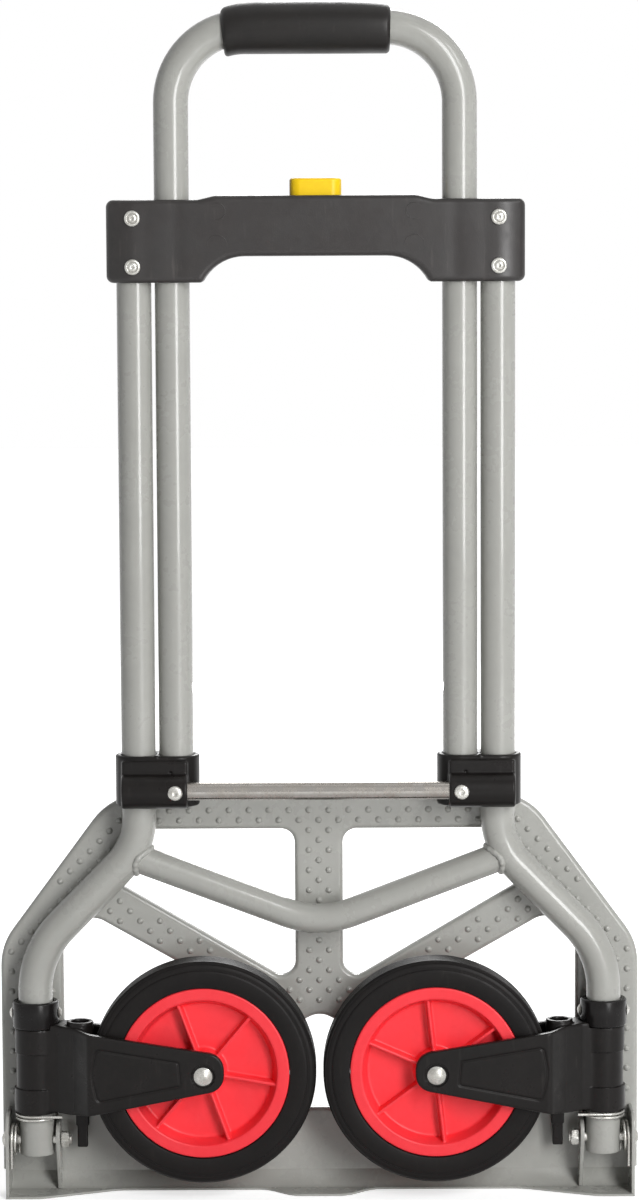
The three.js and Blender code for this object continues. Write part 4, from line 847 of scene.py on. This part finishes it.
def nutShell(origin, direction, across, height, bore):
    # A hexagon whose corners are rounded off by a cone at each end, round a bore with bevelled mouths
    flat, corner = across / 2, across / 2 / math.cos(math.pi / 6)
    rows = [(0, bore + 0.4), (0, flat * 0.96), (0.5, corner * 0.97, flat), (0.9, corner, flat),
            (height - 0.9, corner, flat), (height - 0.5, corner * 0.97, flat), (height, flat * 0.96),
            (height, bore + 0.4), (height - 0.4, bore), (0.4, bore)]
    return turnedShell(origin, direction, rows, 48, True)


hingeNut = nutShell((-truck["leg"] + 15.3, 0, truck["hinge"]), alongX, 9.4, 5.4, 3.7)
bothSides("hingeNut", [hingeNut], zincSteel, "frame", "hinge_nut", crease=25)

axleBolt = {"head": 5.9, "crown": 2.4, "edge": 1.0, "seat": -32.1, "shank": 4.0, "end": 12.9}


def axleBoltRows():
    # A high domed head, a plain shank and a bevelled end
    head, edge, seat, shank, end = [axleBolt[key] for key in ("head", "edge", "seat", "shank", "end")]
    rows = [(seat + row[0] - edge, row[1]) for row in domeRows(head, axleBolt["crown"], 9)]
    return rows + [(seat, head * 0.97), (seat, shank), (end - 0.5, shank), (end, shank - 0.5), (end, 0)]


bothSides("axleBolt", [turnedShell((-truck["wheel"], 0, truck["axle"]), alongY, axleBoltRows())], zincSteel,
          "wheel_arm_{side}", "axle_bolt")
axleNut = nutShell((-truck["wheel"], 7.3, truck["axle"]), alongY, 13, 4.6, 4.3)
bothSides("axleNut", [axleNut], zincSteel, "wheel_arm_{side}", "axle_nut", crease=25)
print("fasteners made")


# Springs: round wire along a helix with straight ends

spring = {"turns": 1.5, "pitch": 2.3, "wire": 1.8, "lastEnd": 17, "steps": 28, "sides": 12}


def springShell(radius, firstEnd, start=0.0):
    # On the helix: (radius cos a, radius sin a, pitch a / 2 pi). Both ends run straight on, level.
    turns = spring["turns"]
    angle = start + np.linspace(0, 2 * np.pi * turns, int(turns * spring["steps"]) + 1)
    climb = spring["pitch"] * (angle - start) / (2 * np.pi)
    line = np.column_stack([radius * np.cos(angle), radius * np.sin(angle), climb])
    heading = np.column_stack([-np.sin(angle), np.cos(angle), np.zeros(len(angle))])
    first = line[0] - heading[0] * firstEnd * np.linspace(1, 0.2, 5)[:, None]
    last = line[-1] + heading[-1] * spring["lastEnd"] * np.linspace(0.2, 1, 5)[:, None]
    firstTip = first[:1] + (first[:1] - first[1:2]) * 1e-3
    lastTip = last[-1:] + (last[-1:] - last[-2:-1]) * 1e-3
    line = np.concatenate([firstTip, first, line, last, lastTip])
    tangent = unitRows(np.gradient(line, axis=0))
    side = unitRows(np.cross(tangent, alongZ))
    thick = np.full((len(line), 1), spring["wire"] / 2)
    thick[[0, -1]] = 0
    return ringShell(line, side, np.cross(side, tangent), thick, spring["sides"])


toeSpring, toeFaces = springShell(9.6, 11)
toeSpring = asYZX(toeSpring) + [truck["leg"] + 14.25 - 1.725, 0, truck["hinge"]]
bothSides("toeSpring", [mirrored((toeSpring, toeFaces))], zincSteel, "toe_plate", "toe_spring", crease=60)

forkSpring, forkFaces = springShell(13.1, 6, math.pi / 2)
bothSides("forkSpring", [(forkSpring + [-truck["leg"], 0, 49.95], forkFaces)], zincSteel, "wheel_arm_{side}",
          "fork_spring", crease=60)
print("springs made")


# Wheels: a turned tyre with grooves round its tread, and a moulded hub with six ribs

wheel = {"depth": -13, "height": 84.3, "half": 13, "outer": 71.8, "inner": 54.9, "grooves": (-6.6, -4.0, -1.3),
         "grooveHalf": 0.5, "grooveFloor": 0.3, "grooveDepth": 0.8, "sides": 160}


def tyreRows():
    # Up the near face to a fine step, round the shoulder with its two grooves, over the tread, and down the far face
    half, inner, outer = wheel["half"], wheel["inner"], wheel["outer"]
    face = [(-11.8, inner), (-12.7, inner + 0.4), (-half, 56.1), (-half, 64.6), (-half + 0.15, 65.4),
            (-half + 0.5, 66.1), (-half + 1.2, 66.3), (-half + 1.3, 66.8)]
    angle = np.linspace(0.15, np.pi / 2, 16)
    shoulder = np.column_stack([-half + 1.1 + 3.9 * (1 - np.cos(angle)), outer - 4.8 * (1 - np.sin(angle))])
    shoulder[[5, 6, 11, 12]] += [[0.35, -0.5], [0.35, -0.5], [0.25, -0.6], [0.2, -0.6]]
    wide, narrow, deep = wheel["grooveHalf"], wheel["grooveFloor"], wheel["grooveDepth"]
    groove = ((-wide, 0), (-narrow, deep), (narrow, deep), (wide, 0))
    tread = [(middle + across, outer - depth) for middle in wheel["grooves"] for across, depth in groove]
    near = np.concatenate([face, shoulder, tread])
    return np.concatenate([near, near[::-1] * [-1, 1]])


for side, sign in sides.items():
    middle = (sign * truck["wheel"], wheel["depth"], wheel["height"])
    tyre = turnedShell(middle, alongY, tyreRows(), wheel["sides"], True)
    makePiece(f"tyre{side.capitalize()}", [tyre], tyreRubber, f"wheel_{side}", [f"tyre_{side}"], crease=30)

hub = {"outer": 54.7, "rim": 43.4, "rimHalf": 12.2, "slope": 0.3, "web": 1.6, "webReach": 50, "boss": 14.4,
       "bossHalf": 14.2, "rib": 0.95, "ribHalf": 10.2, "ribReach": 48, "bore": 4.15, "step": 0.8,
       "phases": {"left": 50, "right": 36.5}}


def hubField(x, y, z):
    # A thin web between rim and boss on both sides of it, and three bars across it that are six ribs
    radius, depth = np.hypot(x, z), np.abs(y)
    web = roundedMeet(depth - hub["web"], radius - hub["webReach"], 0.4)
    rim = roundedMeet(radius - hub["outer"], hub["rim"] + hub["slope"] * depth - radius, 0.8)
    rim = roundedMeet(rim, depth - hub["rimHalf"], 0.8)
    boss = roundedMeet(radius + 0.08 * depth - hub["boss"], depth - hub["bossHalf"], 1.0)
    bars = (0, math.pi / 3, 2 * math.pi / 3)
    across = np.minimum.reduce([np.abs(z * math.cos(a) - x * math.sin(a)) for a in bars])
    rib = across - hub["rib"] - 0.05 * (hub["ribHalf"] - depth)
    ribs = roundedMeet(roundedMeet(rib, depth - hub["ribHalf"], 0.5), radius - hub["ribReach"], 0.5)
    shape = blendedJoin(blendedJoin(blendedJoin(web, rim, 1.6), boss, 1.6), ribs, 0.8)
    return roundedMeet(shape, hub["bore"] - radius, 0.5)


hubHalf, hubDepth = hub["outer"] + 2 * hub["step"], hub["bossHalf"] + 1
acrossHub = gridAxis(-hubHalf, (hubHalf, hub["step"]))
hubPoints, hubFaces = mouldedShell(hubField, acrossHub, gridAxis(-hubDepth, (hubDepth, hub["step"])), acrossHub)
for side, sign in sides.items():
    phase = math.radians(hub["phases"][side])
    x = hubPoints[:, 0] * math.cos(phase) - hubPoints[:, 2] * math.sin(phase)
    z = hubPoints[:, 0] * math.sin(phase) + hubPoints[:, 2] * math.cos(phase)
    placed = np.column_stack([x, hubPoints[:, 1], z]) + [sign * truck["wheel"], wheel["depth"], wheel["height"]]
    makePiece(f"wheelHub{side.capitalize()}", [(placed, hubFaces)], redPlastic, f"wheel_{side}", [f"wheel_hub_{side}"],
              crease=60)
print("wheels made")


# Toe plate: a pressed sheet with rims, domes, a bent flange and two ears

plate = {"front": 16.0, "back": 17.6, "rim": 22.5, "rimBend": 3, "foot": 11.9, "inset": 4.0, "half": 201.5, "bend": 8.0,
         "thickness": 1.6, "flangeBack": -14}
plateOutline = [(205.5, plate["foot"]), (205.5, 159, 40), (132.8, 257.2, 41.5)]
plateOutline += otherSide(plateOutline)
upperOpening = [(15.5, 132.2, 9), (133.9, 201.9, 9), (109.9, 234.3, 9), (15.5, 234.3, 9)]
lowerOpening = [(44.2, 120.5, 9), (165, 58, 9), (165, 159.9, 9), (149.6, 180.8, 14)]
middleOpening = [(-121.3, 51.8, 9), (121.3, 51.8, 9), (0, 114.5, 14)]
openings = [upperOpening, lowerOpening, middleOpening, otherSide(upperOpening), otherSide(lowerOpening)]


def rimProfile():
    # From the sheet's front face round a bend to the rim's outer wall, over its lip, and back to the sheet's rear face
    front, top, bend, inset = plate["front"], plate["rim"], plate["rimBend"], plate["inset"]
    angle = np.linspace(0, np.pi / 2, 7)
    outer, inner = [np.column_stack([bend - radius * np.sin(angle), front + bend - radius * np.cos(angle)])
                    for radius in (3, 1.4)]
    lip = [[0, top - 0.4], [0.15, top - 0.1], [0.5, top], [1.1, top], [1.45, top - 0.1], [1.6, top - 0.4]]
    return np.concatenate([[[inset, front]], outer, lip, inner[::-1], [[inset, plate["back"]]]])


def flangeEdge(x):
    # How far forward the flange reaches at x: straight runs between the corners, softened over a few millimetres
    places, reaches = [0, 17.5, 34, 130, 178, plate["half"]], [-10, -10, 6, 6, -14, -14]
    reach = [np.interp(np.abs(x + shift), places, reaches) for shift in np.linspace(-5, 5, 11)]
    return np.maximum(np.mean(reach, 0), plate["flangeBack"])


def flangeRows(x):
    # Down the sheet, forward round the bend, out along the flange, over its edge, and back underneath.
    # The near side of the bend is a curve with three control points, and it meets the sheet in a low crease.
    edge, bend = flangeEdge(x), plate["bend"]
    share = np.linspace(0, 1, 9)
    near = (np.outer((1 - share) ** 2, [16, 11.3]) + np.outer(2 * share * (1 - share), [11.8, 3.0])
            + np.outer(share ** 2, [7, 1.6]))
    outer = bend + plate["thickness"]
    far = [(bend + outer * math.cos(a), outer * (1 - math.sin(a))) for a in np.linspace(0, np.pi / 2, 9)[::-1]]
    lip = [(edge + 0.6, 1.6), (edge + 0.2, 1.5), (edge, 1.2), (edge, 0.4), (edge + 0.2, 0.1), (edge + 0.6, 0)]
    rows = [(plate["front"], plate["foot"]), *near, *lip, *far, (plate["back"], plate["foot"])]
    return np.array([np.column_stack([x, np.broadcast_to(y, x.shape), np.broadcast_to(z, x.shape)]) for y, z in rows])


def endCap(count, far):
    # Closes the end of a bent sheet: each row on one face is joined to the facing row on the other
    steps = np.arange(count // 2 - 1)
    cap = np.column_stack([steps, steps + 1, count - 2 - steps, count - 1 - steps])
    return cap[:, ::-1] if far else cap


dome = {"radius": 2.2, "height": 1.15, "sides": 16, "pitch": 12.8, "drop": 6.53, "top": 253.3, "margin": 5.2,
        "lowest": 62}


def domeShells(centres):
    # Low domes: rings at shares of the radius with shares of the height, from just under the sheet up to a tip
    share, height = np.array([1.12, 1.0, 0.8, 0.55, 0.28]), np.array([-0.15, 0.0, 0.5, 0.92, 1.15]) * dome["height"]
    count = dome["sides"]
    angle = 2 * np.pi * np.arange(count) / count
    ring = np.stack([np.outer(share, np.cos(angle)) * dome["radius"], np.repeat(-height[:, None], count, 1),
                     np.outer(share, np.sin(angle)) * dome["radius"]], -1).reshape(-1, 3)
    one = np.concatenate([ring, [[0, -1.2 * dome["height"], 0]]])
    last = np.arange(count) + (len(share) - 1) * count
    tip = np.column_stack([last, np.roll(last, -1), np.full(count, len(one) - 1)])
    places = np.column_stack([centres[:, 0], np.full(len(centres), plate["front"]), centres[:, 1]])
    moved = np.arange(len(places))[:, None, None] * len(one)
    return ((places[:, None] + one).reshape(-1, 3),
            [(gridFaces(len(share), count) + moved).reshape(-1, 4), (tip + moved).reshape(-1, 3)])


def domeCentres():
    # Staggered rows down the sheet, left out near every edge
    rows = np.arange(int((dome["top"] - dome["lowest"]) / dome["drop"]) + 1)
    columns = np.arange(-16, 17)
    x = (columns[None] + 0.5 * (rows[:, None] % 2)) * dome["pitch"]
    z = np.broadcast_to(dome["top"] - dome["drop"] * rows[:, None], x.shape)
    edge = outlineField(x, z, roundedLine(plateOutline)[0])
    for opening in openings:
        edge = np.maximum(edge, -outlineField(x, z, roundedLine(opening)[0]))
    keep = edge < -dome["margin"]
    return np.column_stack([x[keep], z[keep]])


def toePlateShells():
    # The outline's and openings' rims, the bent flange, both faces of the sheet, the outer ears, and the domes
    profile = rimProfile()
    outline = roundedLine(plateOutline, closed=False)
    strip, faces = edgeStrip(outline, profile, closed=False)
    count = len(outline[0])
    for far, column in ((False, 0), (True, count - 1)):
        faces = np.concatenate([faces, endCap(len(profile), far) * count + column])
    shells = [(asXZY(strip.reshape(-1, 3)), faces)]
    loops = [outline[0] + plate["inset"] * outline[1]]
    for opening in openings:
        points, normals = roundedLine(opening)
        strip, faces = edgeStrip((points, -normals), profile)
        shells.append((asXZY(strip.reshape(-1, 3)), faces))
        loops.append(points - plate["inset"] * normals)
    x = np.linspace(-plate["half"], plate["half"], 125)
    rows = flangeRows(x)
    faces = gridFaces(len(rows), len(x), False, False)
    for far, column in ((True, 0), (False, len(x) - 1)):
        faces = np.concatenate([faces, endCap(len(rows), far) * len(x) + column])
    shells.append((rows.reshape(-1, 3), faces))
    foot = np.column_stack([x[1:-1], np.full(len(x) - 2, plate["foot"])])
    flat, triangles = filledFlat([np.concatenate([loops[0], foot])] + loops[1:])
    for depth in (plate["front"], plate["back"]):
        shells.append((asXZY(np.column_stack([flat, np.full(len(flat), depth)])), triangles))
    for place in ear["places"]:
        shells += plateShells(ear["corners"], [pinHole], place, place + ear["thickness"], ear["edge"], asYZX)
    return shells + [domeShells(domeCentres())]


pinHole = ((0, truck["hinge"]), 3.8)
ear = {"corners": [(-12.6, 0.8), (16.8, 0.8, 8.8), (16.8, 53.5), (-12.6, 53.5, 10)], "places": (-201.6, 199.5),
       "thickness": 2.1, "edge": 0.4}
lug = {"corners": [(6, 1.9), (15.7, 1.9, 8), (15.7, 47.5, 2), (-9.6, 47.5, 9), (-9.6, 36, 9)], "outer": -169.5,
       "inner": -167, "edge": 0.4}
makePiece("toePlate", toePlateShells(), greyPaint, "toe_plate", ["toe_plate"], crease=17)
lugShells = plateShells(lug["corners"], [pinHole], lug["outer"], lug["inner"], lug["edge"], asYZX)
bothSides("hingeLug", lugShells, greyPaint, "toe_plate", "hinge_lug", crease=40)
print("toe plate made")


# Top housing: two moulded shells, with soft hollows over the tubes and a rounded border

housing = {"edge": 3.4, "depth": 16.0, "split": 0.15, "seat": 11.3, "seatTop": 629.3, "slide": 11.35, "rivet": 2.7,
           "lock": 618, "lockBore": 4.4}
housingRight = [(62.3, 601, 30), (71, 584.7, 2.5), (131, 584.7, 4.5), (131, 636.3, 4.5), (73, 636.3, 14),
                (62.5, 638.8, 4.5)]
housingLoop = roundedLine([*housingRight, *otherSide(housingRight)])[0]


def faceDepth(x):
    # The face's depth over X: full in the middle, sinking a little beside the tubes, and falling away round the ends
    across = np.abs(x)
    sinks = 0.22 * np.exp(-((across - 87) / 5) ** 2) + 0.12 * np.exp(-((across - 106) / 4) ** 2)
    return housing["depth"] - sinks - 5.5 * (np.maximum(across - 113, 0) / 18) ** 2


def roundedRectangle(a, b, halfA, halfB, corner):
    # Distance to a rectangle with rounded corners, both measured from its middle
    across, along = np.abs(a) - halfA + corner, np.abs(b) - halfB + corner
    return np.hypot(np.maximum(across, 0), np.maximum(along, 0)) + np.minimum(np.maximum(across, along), 0) - corner


def housingField(x, y, z):
    # The front shell. Cut out of it: both tubes' seats, rivet holes, the room inside and the button's opening.
    across = np.abs(x)
    fromFrameTube, fromHandleTube = across - truck["frameTube"], across - truck["handleTube"]
    shape = roundedMeet(outlineField(x, z, housingLoop), -y - faceDepth(x), housing["edge"])
    shape = roundedMeet(shape, y + housing["split"], 0.4)
    seat = np.maximum(np.hypot(fromFrameTube, y) - housing["seat"], z - housing["seatTop"])
    shape = roundedMeet(shape, -seat, 0.4)
    shape = roundedMeet(shape, housing["slide"] - np.hypot(fromHandleTube, y), 0.7)
    for height in shellRivet["heights"]:
        shape = roundedMeet(shape, housing["rivet"] - np.hypot(fromFrameTube, z - height), 0.3)
    room = np.maximum(np.maximum(across - 70, np.abs(y) - 11.5), np.abs(z - 619.7) - 14.9)
    mouth = np.maximum(roundedRectangle(x, y, 16.6, 7.35, 5.3), 630 - z)
    channel = np.maximum(np.hypot(y, z - housing["lock"]) - housing["lockBore"], across - 85)
    return roundedMeet(shape, -np.minimum(np.minimum(room, mouth), channel), 0.4)


def ringMark(centre, radius, thickness, start, end):
    # A fine raised line left by the mould: part of a ring, half sunk into the face
    angle = np.linspace(start, end, 40)
    away = np.column_stack([np.cos(angle), 0 * angle, np.sin(angle)])
    line = np.array([centre[0], -housing["depth"] + 0.1, centre[1]]) + radius * away
    thick = thickness * np.sqrt(np.clip(np.sin(np.linspace(0, np.pi, 40)), 0, 1))
    return ringShell(line, away, alongY, thick[:, None], 8)


housingPoints, housingFaces = mouldedShell(housingField, gridAxis(-132.3, (132.3, 0.85)), gridAxis(-17, (0.6, 0.7)),
                                           gridAxis(583.4, (640, 0.8)))
marks = [ringMark((-61.5, 628.9), 5.2, 0.34, -2.6, 2.8), ringMark((-61.5, 608), 6.2, 0.32, -0.4, 3.4)]
marks += [mirrored(mark) for mark in marks]
makePiece("housingFront", [(housingPoints, housingFaces), *marks], shellPlastic, "frame", ["housing_front"], crease=50)
makePiece("housingRear", [(housingPoints * [1, -1, 1], housingFaces[:, ::-1])], shellPlastic, "frame",
          ["housing_rear"], crease=50)

button = {"cap": (16.25, 7, 6.6), "top": 649.5, "foot": 632, "flange": (18.45, 9.2, 5), "slot": 46, "slotRun": 5.5,
          "slotHalf": 1.85, "webHalf": 1.5}
webLoop = roundedLine([(8, 613), (50.2, 613), (50.2, 628), (16.25, 628), (16.25, 632), (8, 632)])[0]


def buttonField(x, y, z):
    # A cap with a soft top edge, a flange under it, and a thin web on each side with a sloped slot through it
    cap = roundedMeet(roundedRectangle(x, y, *button["cap"]), z - button["top"], 1.8)
    cap = np.maximum(cap, button["foot"] - z)
    flange = roundedMeet(roundedRectangle(x, y, *button["flange"]), np.abs(z - 632.5) - 1.8, 0.4)
    beside, above, run = np.abs(x) - button["slot"], z - housing["lock"], button["slotRun"]
    share = np.clip((beside * -run + above * run) / (2 * run ** 2), 0, 1)
    slot = np.hypot(beside + run * share, above - run * share) - button["slotHalf"]
    web = roundedMeet(outlineField(np.abs(x), z, webLoop), np.abs(y) - button["webHalf"], 0.3)
    return np.minimum(blendedJoin(cap, flange, 0.6), roundedMeet(web, -slot, 0.3))


buttonShell = mouldedShell(buttonField, gridAxis(-51.5, (51.5, 0.6)), gridAxis(-10, (10, 0.5)),
                           gridAxis(612, (650.5, 0.5)))
makePiece("releaseButton", [buttonShell], yellowPlastic, "release_button", ["release_button"], crease=50)
print("housing and button made")


# Carriages: two bores side by side, a front pad with a round boss for the bar's end

carriage = {"low": 253.4, "high": 286.0, "padHigh": 283.5, "padDepth": -17.5, "inner": 82.7, "outer": 124.4,
            "middle": 102.3, "round": 14.75, "handleBore": 11.3, "frameBore": 11.35, "boss": 11.0, "bossDepth": -16.0,
            "bossHeight": 264.4, "barBore": 6.05, "barEnd": 98.3, "screwBore": 2.6}


def carriageField(x, y, z):
    # A body with round ends, a pad and a boss joined to its front, and a small nub. Cut out of it: the bores for both
    # tubes, the bar and the screw, and a pit in the pad.
    low, high, inner, outer, ends = [carriage[key] for key in ("low", "high", "inner", "outer", "round")]
    body = roundedMeet(roundedRectangle(x - carriage["middle"], y, 12 + ends, ends, ends),
                       np.abs(z - (low + high) / 2) - (high - low) / 2, 1.3)
    front = boxField(x, y, z, (inner, carriage["padDepth"], low), (outer, 0, carriage["padHigh"]), 1.6)
    span = (outer - inner) / 2
    boss = roundedMeet(np.hypot(y - carriage["bossDepth"], z - carriage["bossHeight"]) - carriage["boss"],
                       np.abs(x - inner - span) - span, 1.4)
    nub = np.hypot(np.hypot(x - 102.5, y + 13.2), 1.2 * (z - 285.4)) - 1.7
    shape = blendedJoin(blendedJoin(blendedJoin(body, front, 1.6), boss, 1.2), nub, 0.6)
    for tubeName in ("handle", "frame"):
        axis, radius = truck[tubeName + "Tube"], carriage[tubeName + "Bore"]
        shape = roundedMeet(shape, radius - np.hypot(x - axis, y), 0.6)
    fromBar = np.hypot(y - bar["depth"], z - bar["height"])
    fromScrew = np.hypot(x - truck["handleTube"], z - bar["height"])
    bore = np.maximum(fromBar - carriage["barBore"], x - carriage["barEnd"])
    screw = np.maximum(fromScrew - carriage["screwBore"], y)
    pit = np.hypot(np.hypot(x - 93.2, z - 276), 1.2 * (y + 17.6)) - 1.1
    return roundedMeet(shape, -np.minimum(np.minimum(bore, screw), pit), 0.4)


carriageShell = mouldedShell(carriageField, gridAxis(74, (130.5, 0.6)), gridAxis(-28.5, (16.5, 0.6)),
                             gridAxis(252, (288.5, 0.6)))
bothSides("carriage", [mirrored(carriageShell)], blackPlastic, "handle", "carriage", crease=50)

collar = {"bore": 11.3, "outer": 14.8, "sides": 72}
collarRows = [(111, collar["bore"]), (110.2, 11.6), (110, 12.2), (110, 14.2), (110.3, 14.6), (110.8, collar["outer"]),
              (125.6, collar["outer"]), (126.4, 14.5), (126.9, 13.9), (127, 13.2), (127, 12.4), (126.7, 11.7),
              (126, collar["bore"])]
legPath = lineFrom(np.array([-truck["leg"], 0.0, 0.0]), alongZ)
bothSides("legCollar", [carriedRings(legPath, collarRows, collar["sides"], alongX, True)], glossPlastic, "frame",
          "leg_collar")
print("carriages and collars made")


# Wheel forks: u is the distance from the leg's axis towards the middle plane

fork = {"near": -33.0, "far": 7.0, "top": 109.6, "low": 54.6, "sleeve": 12.8, "upperBand": (93.6, 0.8),
        "lowerBand": (70.8, 1.4), "bore": 11.25, "boss": (29, -10), "bossOuter": 8.6, "bossBore": 5.8, "axle": 108.0,
        "axleBore": 4.2, "recess": (7.4, 1.2), "lineDepth": 0.75, "lineWidth": 0.72}
forkPlan = roundedLine([(5.5, fork["far"]), (5.5, -11), (14.5, -13, 3), (25, -20.5, 3), (35.5, fork["near"], 5),
                        (123, fork["near"]), (123, -27.5), (31, -27.5, 9), (31, 1.5, 9), (123, 1.5),
                        (123, fork["far"])])[0]
forkSide = roundedLine([(-2, 56), (24, 56, 8), (121.2, 75, 11), (121.2, 97.2, 11), (26, 112.6, 5), (-2, 113)])[0]
panelLine = roundedLine([(41.3, 67.5, 3), (93.7, 77.6, 1.5), (92.4, 92.7, 1.5), (40.4, 101.4, 3), (36.9, 84, 30)])[0]


def forkField(u, y, z):
    # Sleeve with three bands, yoke with two arms, hollow round boss on top, and a stepped peg under the root.
    # The panel line sinks the near face by depth times e^-(d / width)^2, with d the distance from the line.
    radius, fromBoss = np.hypot(u, y), np.hypot(u - fork["boss"][0], y - fork["boss"][1])
    (upper, upperStep), (lower, lowerStep) = fork["upperBand"], fork["lowerBand"]
    band = fork["sleeve"] + upperStep * (z > upper) + lowerStep * (z < lower)
    sleeve = roundedMeet(radius - band, np.maximum(z - fork["top"], fork["low"] - z), 0.5)
    yoke = roundedMeet(outlineField(u, y, forkPlan), outlineField(u, z, forkSide), 1.3)
    boss = roundedMeet(fromBoss - fork["bossOuter"], np.abs(z - 103) - 12.5, 0.8)
    peg = np.minimum(boxField(u, y, z, (24.8, 1.5, 44), (33.2, 7, 66), 0.8),
                     boxField(u, y, z, (25.7, 1.7, 30), (32.3, 6.8, 50), 0.8))
    shape = np.minimum(blendedJoin(blendedJoin(yoke, sleeve, 1.5), boss, 1.2), peg)
    shape = roundedMeet(shape, fork["bossBore"] - np.where(z > 98, fromBoss, 99), 0.6)
    shape = roundedMeet(shape, fork["bore"] - radius, 0.5)
    shape = roundedMeet(shape, -np.maximum(radius - 15.3, fork["top"] - z), 0.4)
    axle = np.hypot(u - fork["axle"], z - truck["axle"])
    shape = roundedMeet(shape, fork["axleBore"] - axle, 0.4)
    width, depth = fork["recess"]
    shape = roundedMeet(shape, -np.maximum(axle - width, y - fork["near"] - depth), 0.25)
    fromLine = outlineField(u, z, panelLine) / fork["lineWidth"]
    return shape + fork["lineDepth"] * np.exp(-fromLine ** 2) * (y < fork["near"] + 1.6)


forkPoints, forkFaces = mouldedShell(
    forkField, gridAxis(-16, (35.5, 0.85), (95, 0.5), (123, 0.85)), gridAxis(-34, (-31.6, 0.4), (15.6, 0.8)),
    gridAxis(28.6, (66, 0.85), (103, 0.5), (117, 0.85)))
bothSides("wheelFork", [(forkPoints + [-truck["leg"], 0, 0], forkFaces)], blackPlastic, "wheel_arm_{side}",
          "wheel_fork", crease=50)
print("forks made")

# The hidden lock bolts, and the button's spring, which the button squeezes, keep their solids
for name in ("lock_bolt_left", "lock_bolt_right", "button_spring"):
    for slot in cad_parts[name].material_slots:
        slot.material = zincSteel


# Floor, light and camera

def backdropRays(tree):
    # One for the rays that see the backdrop: from the camera, in reflections and through clear things
    path = addNode(tree, "LightPath").outputs
    reflected = addMath(tree, "MAXIMUM", path["Is Glossy Ray"], path["Is Transmission Ray"])
    return addMath(tree, "MAXIMUM", path["Is Camera Ray"], reflected)


def addSoftbox(name, place, target, width, height, power):
    # A rectangular light at a place, turned to face a target, both in metres
    light = bpy.data.lights.new(name, "AREA")
    light.shape, light.size, light.size_y, light.energy = "RECTANGLE", width, height, power
    lamp = addObject(name, light)
    lamp.location = place
    lamp.rotation_euler = (Vector(target) - Vector(place)).to_track_quat("-Z", "Y").to_euler()
    lamp.visible_camera = False


# The floor glows for the rays that see the backdrop, less near the truck, so only the shadow darkens it
floorLook = {"colour": 0.85, "roughness": 0.9, "nearGlow": 0.6, "farGlow": 1.0, "glowFrom": 0.25, "glowFull": 0.8}
floorPaint = bpy.data.materials.new("floorPaint")
floorPaint.use_nodes = True
floorTree = floorPaint.node_tree
floorSockets = floorTree.nodes["Principled BSDF"].inputs
floorSockets["Base Color"].default_value = (*[floorLook["colour"]] * 3, 1)
floorSockets["Roughness"].default_value = floorLook["roughness"]
floorSockets["Emission Color"].default_value = (1, 1, 1, 1)
fromMiddle = addNode(floorTree, "VectorMath", {0: addNode(floorTree, "TexCoord").outputs["Object"]}, operation="LENGTH")
glow = addRange(floorTree, fromMiddle.outputs["Value"], floorLook["glowFrom"], floorLook["glowFull"],
                floorLook["nearGlow"], floorLook["farGlow"])
floorTree.links.new(addMath(floorTree, "MULTIPLY", glow, backdropRays(floorTree)), floorSockets["Emission Strength"])

floorMesh = bpy.data.meshes.new("floor")
floorMesh.from_pydata([(-6, -4, 0), (6, -4, 0), (6, 8, 0), (-6, 8, 0)], [], [(0, 1, 2, 3)])
floorMesh.materials.append(floorPaint)
addObject("floor", floorMesh)

addSoftbox("keyLight", (1.15, -2.2, 1.12), (0, 0, 0.4), 0.7, 2.0, 62)
addSoftbox("sideLight", (2.1, -1.3, 2.1), (0, 0, 0.3), 0.5, 0.8, 12)
addSoftbox("fillLight", (-2.4, -1.4, 1.1), (0, 0, 0.4), 0.8, 1.6, 1.5)
addSoftbox("topLight", (0.2, 0.0, 2.6), (0, 0, 0.3), 1.2, 1.2, 3)
addSoftbox("backLight", (0.2, 2.3, 1.7), (0, 0, 0.35), 0.9, 1.6, 42)

world = bpy.data.worlds.new("studio")
bpy.context.scene.world = world
world.use_nodes = True
studio = world.node_tree
studio.nodes.clear()
roomLight = addNode(studio, "Background", {"Color": (0.03, 0.03, 0.03, 1)}).outputs[0]
backdrop = addNode(studio, "Background", {"Color": (1, 1, 1, 1)}).outputs[0]
choice = addNode(studio, "MixShader", {0: backdropRays(studio), 1: roomLight, 2: backdrop}).outputs[0]
addNode(studio, "OutputWorld", {0: choice})

bpy.context.scene.view_settings.view_transform = "Standard"

camera = addObject("camera", bpy.data.cameras.new("camera"))
camera.data.lens, camera.data.sensor_width = 108, 36
camera.matrix_world = (Matrix.Translation((0.0013, -2.270, 0.6164)) @ Matrix.Rotation(math.radians(84.15), 4, "X")
                       @ Matrix.Rotation(math.radians(-0.29), 4, "Z"))
bpy.context.scene.camera = camera

print("stage ready")
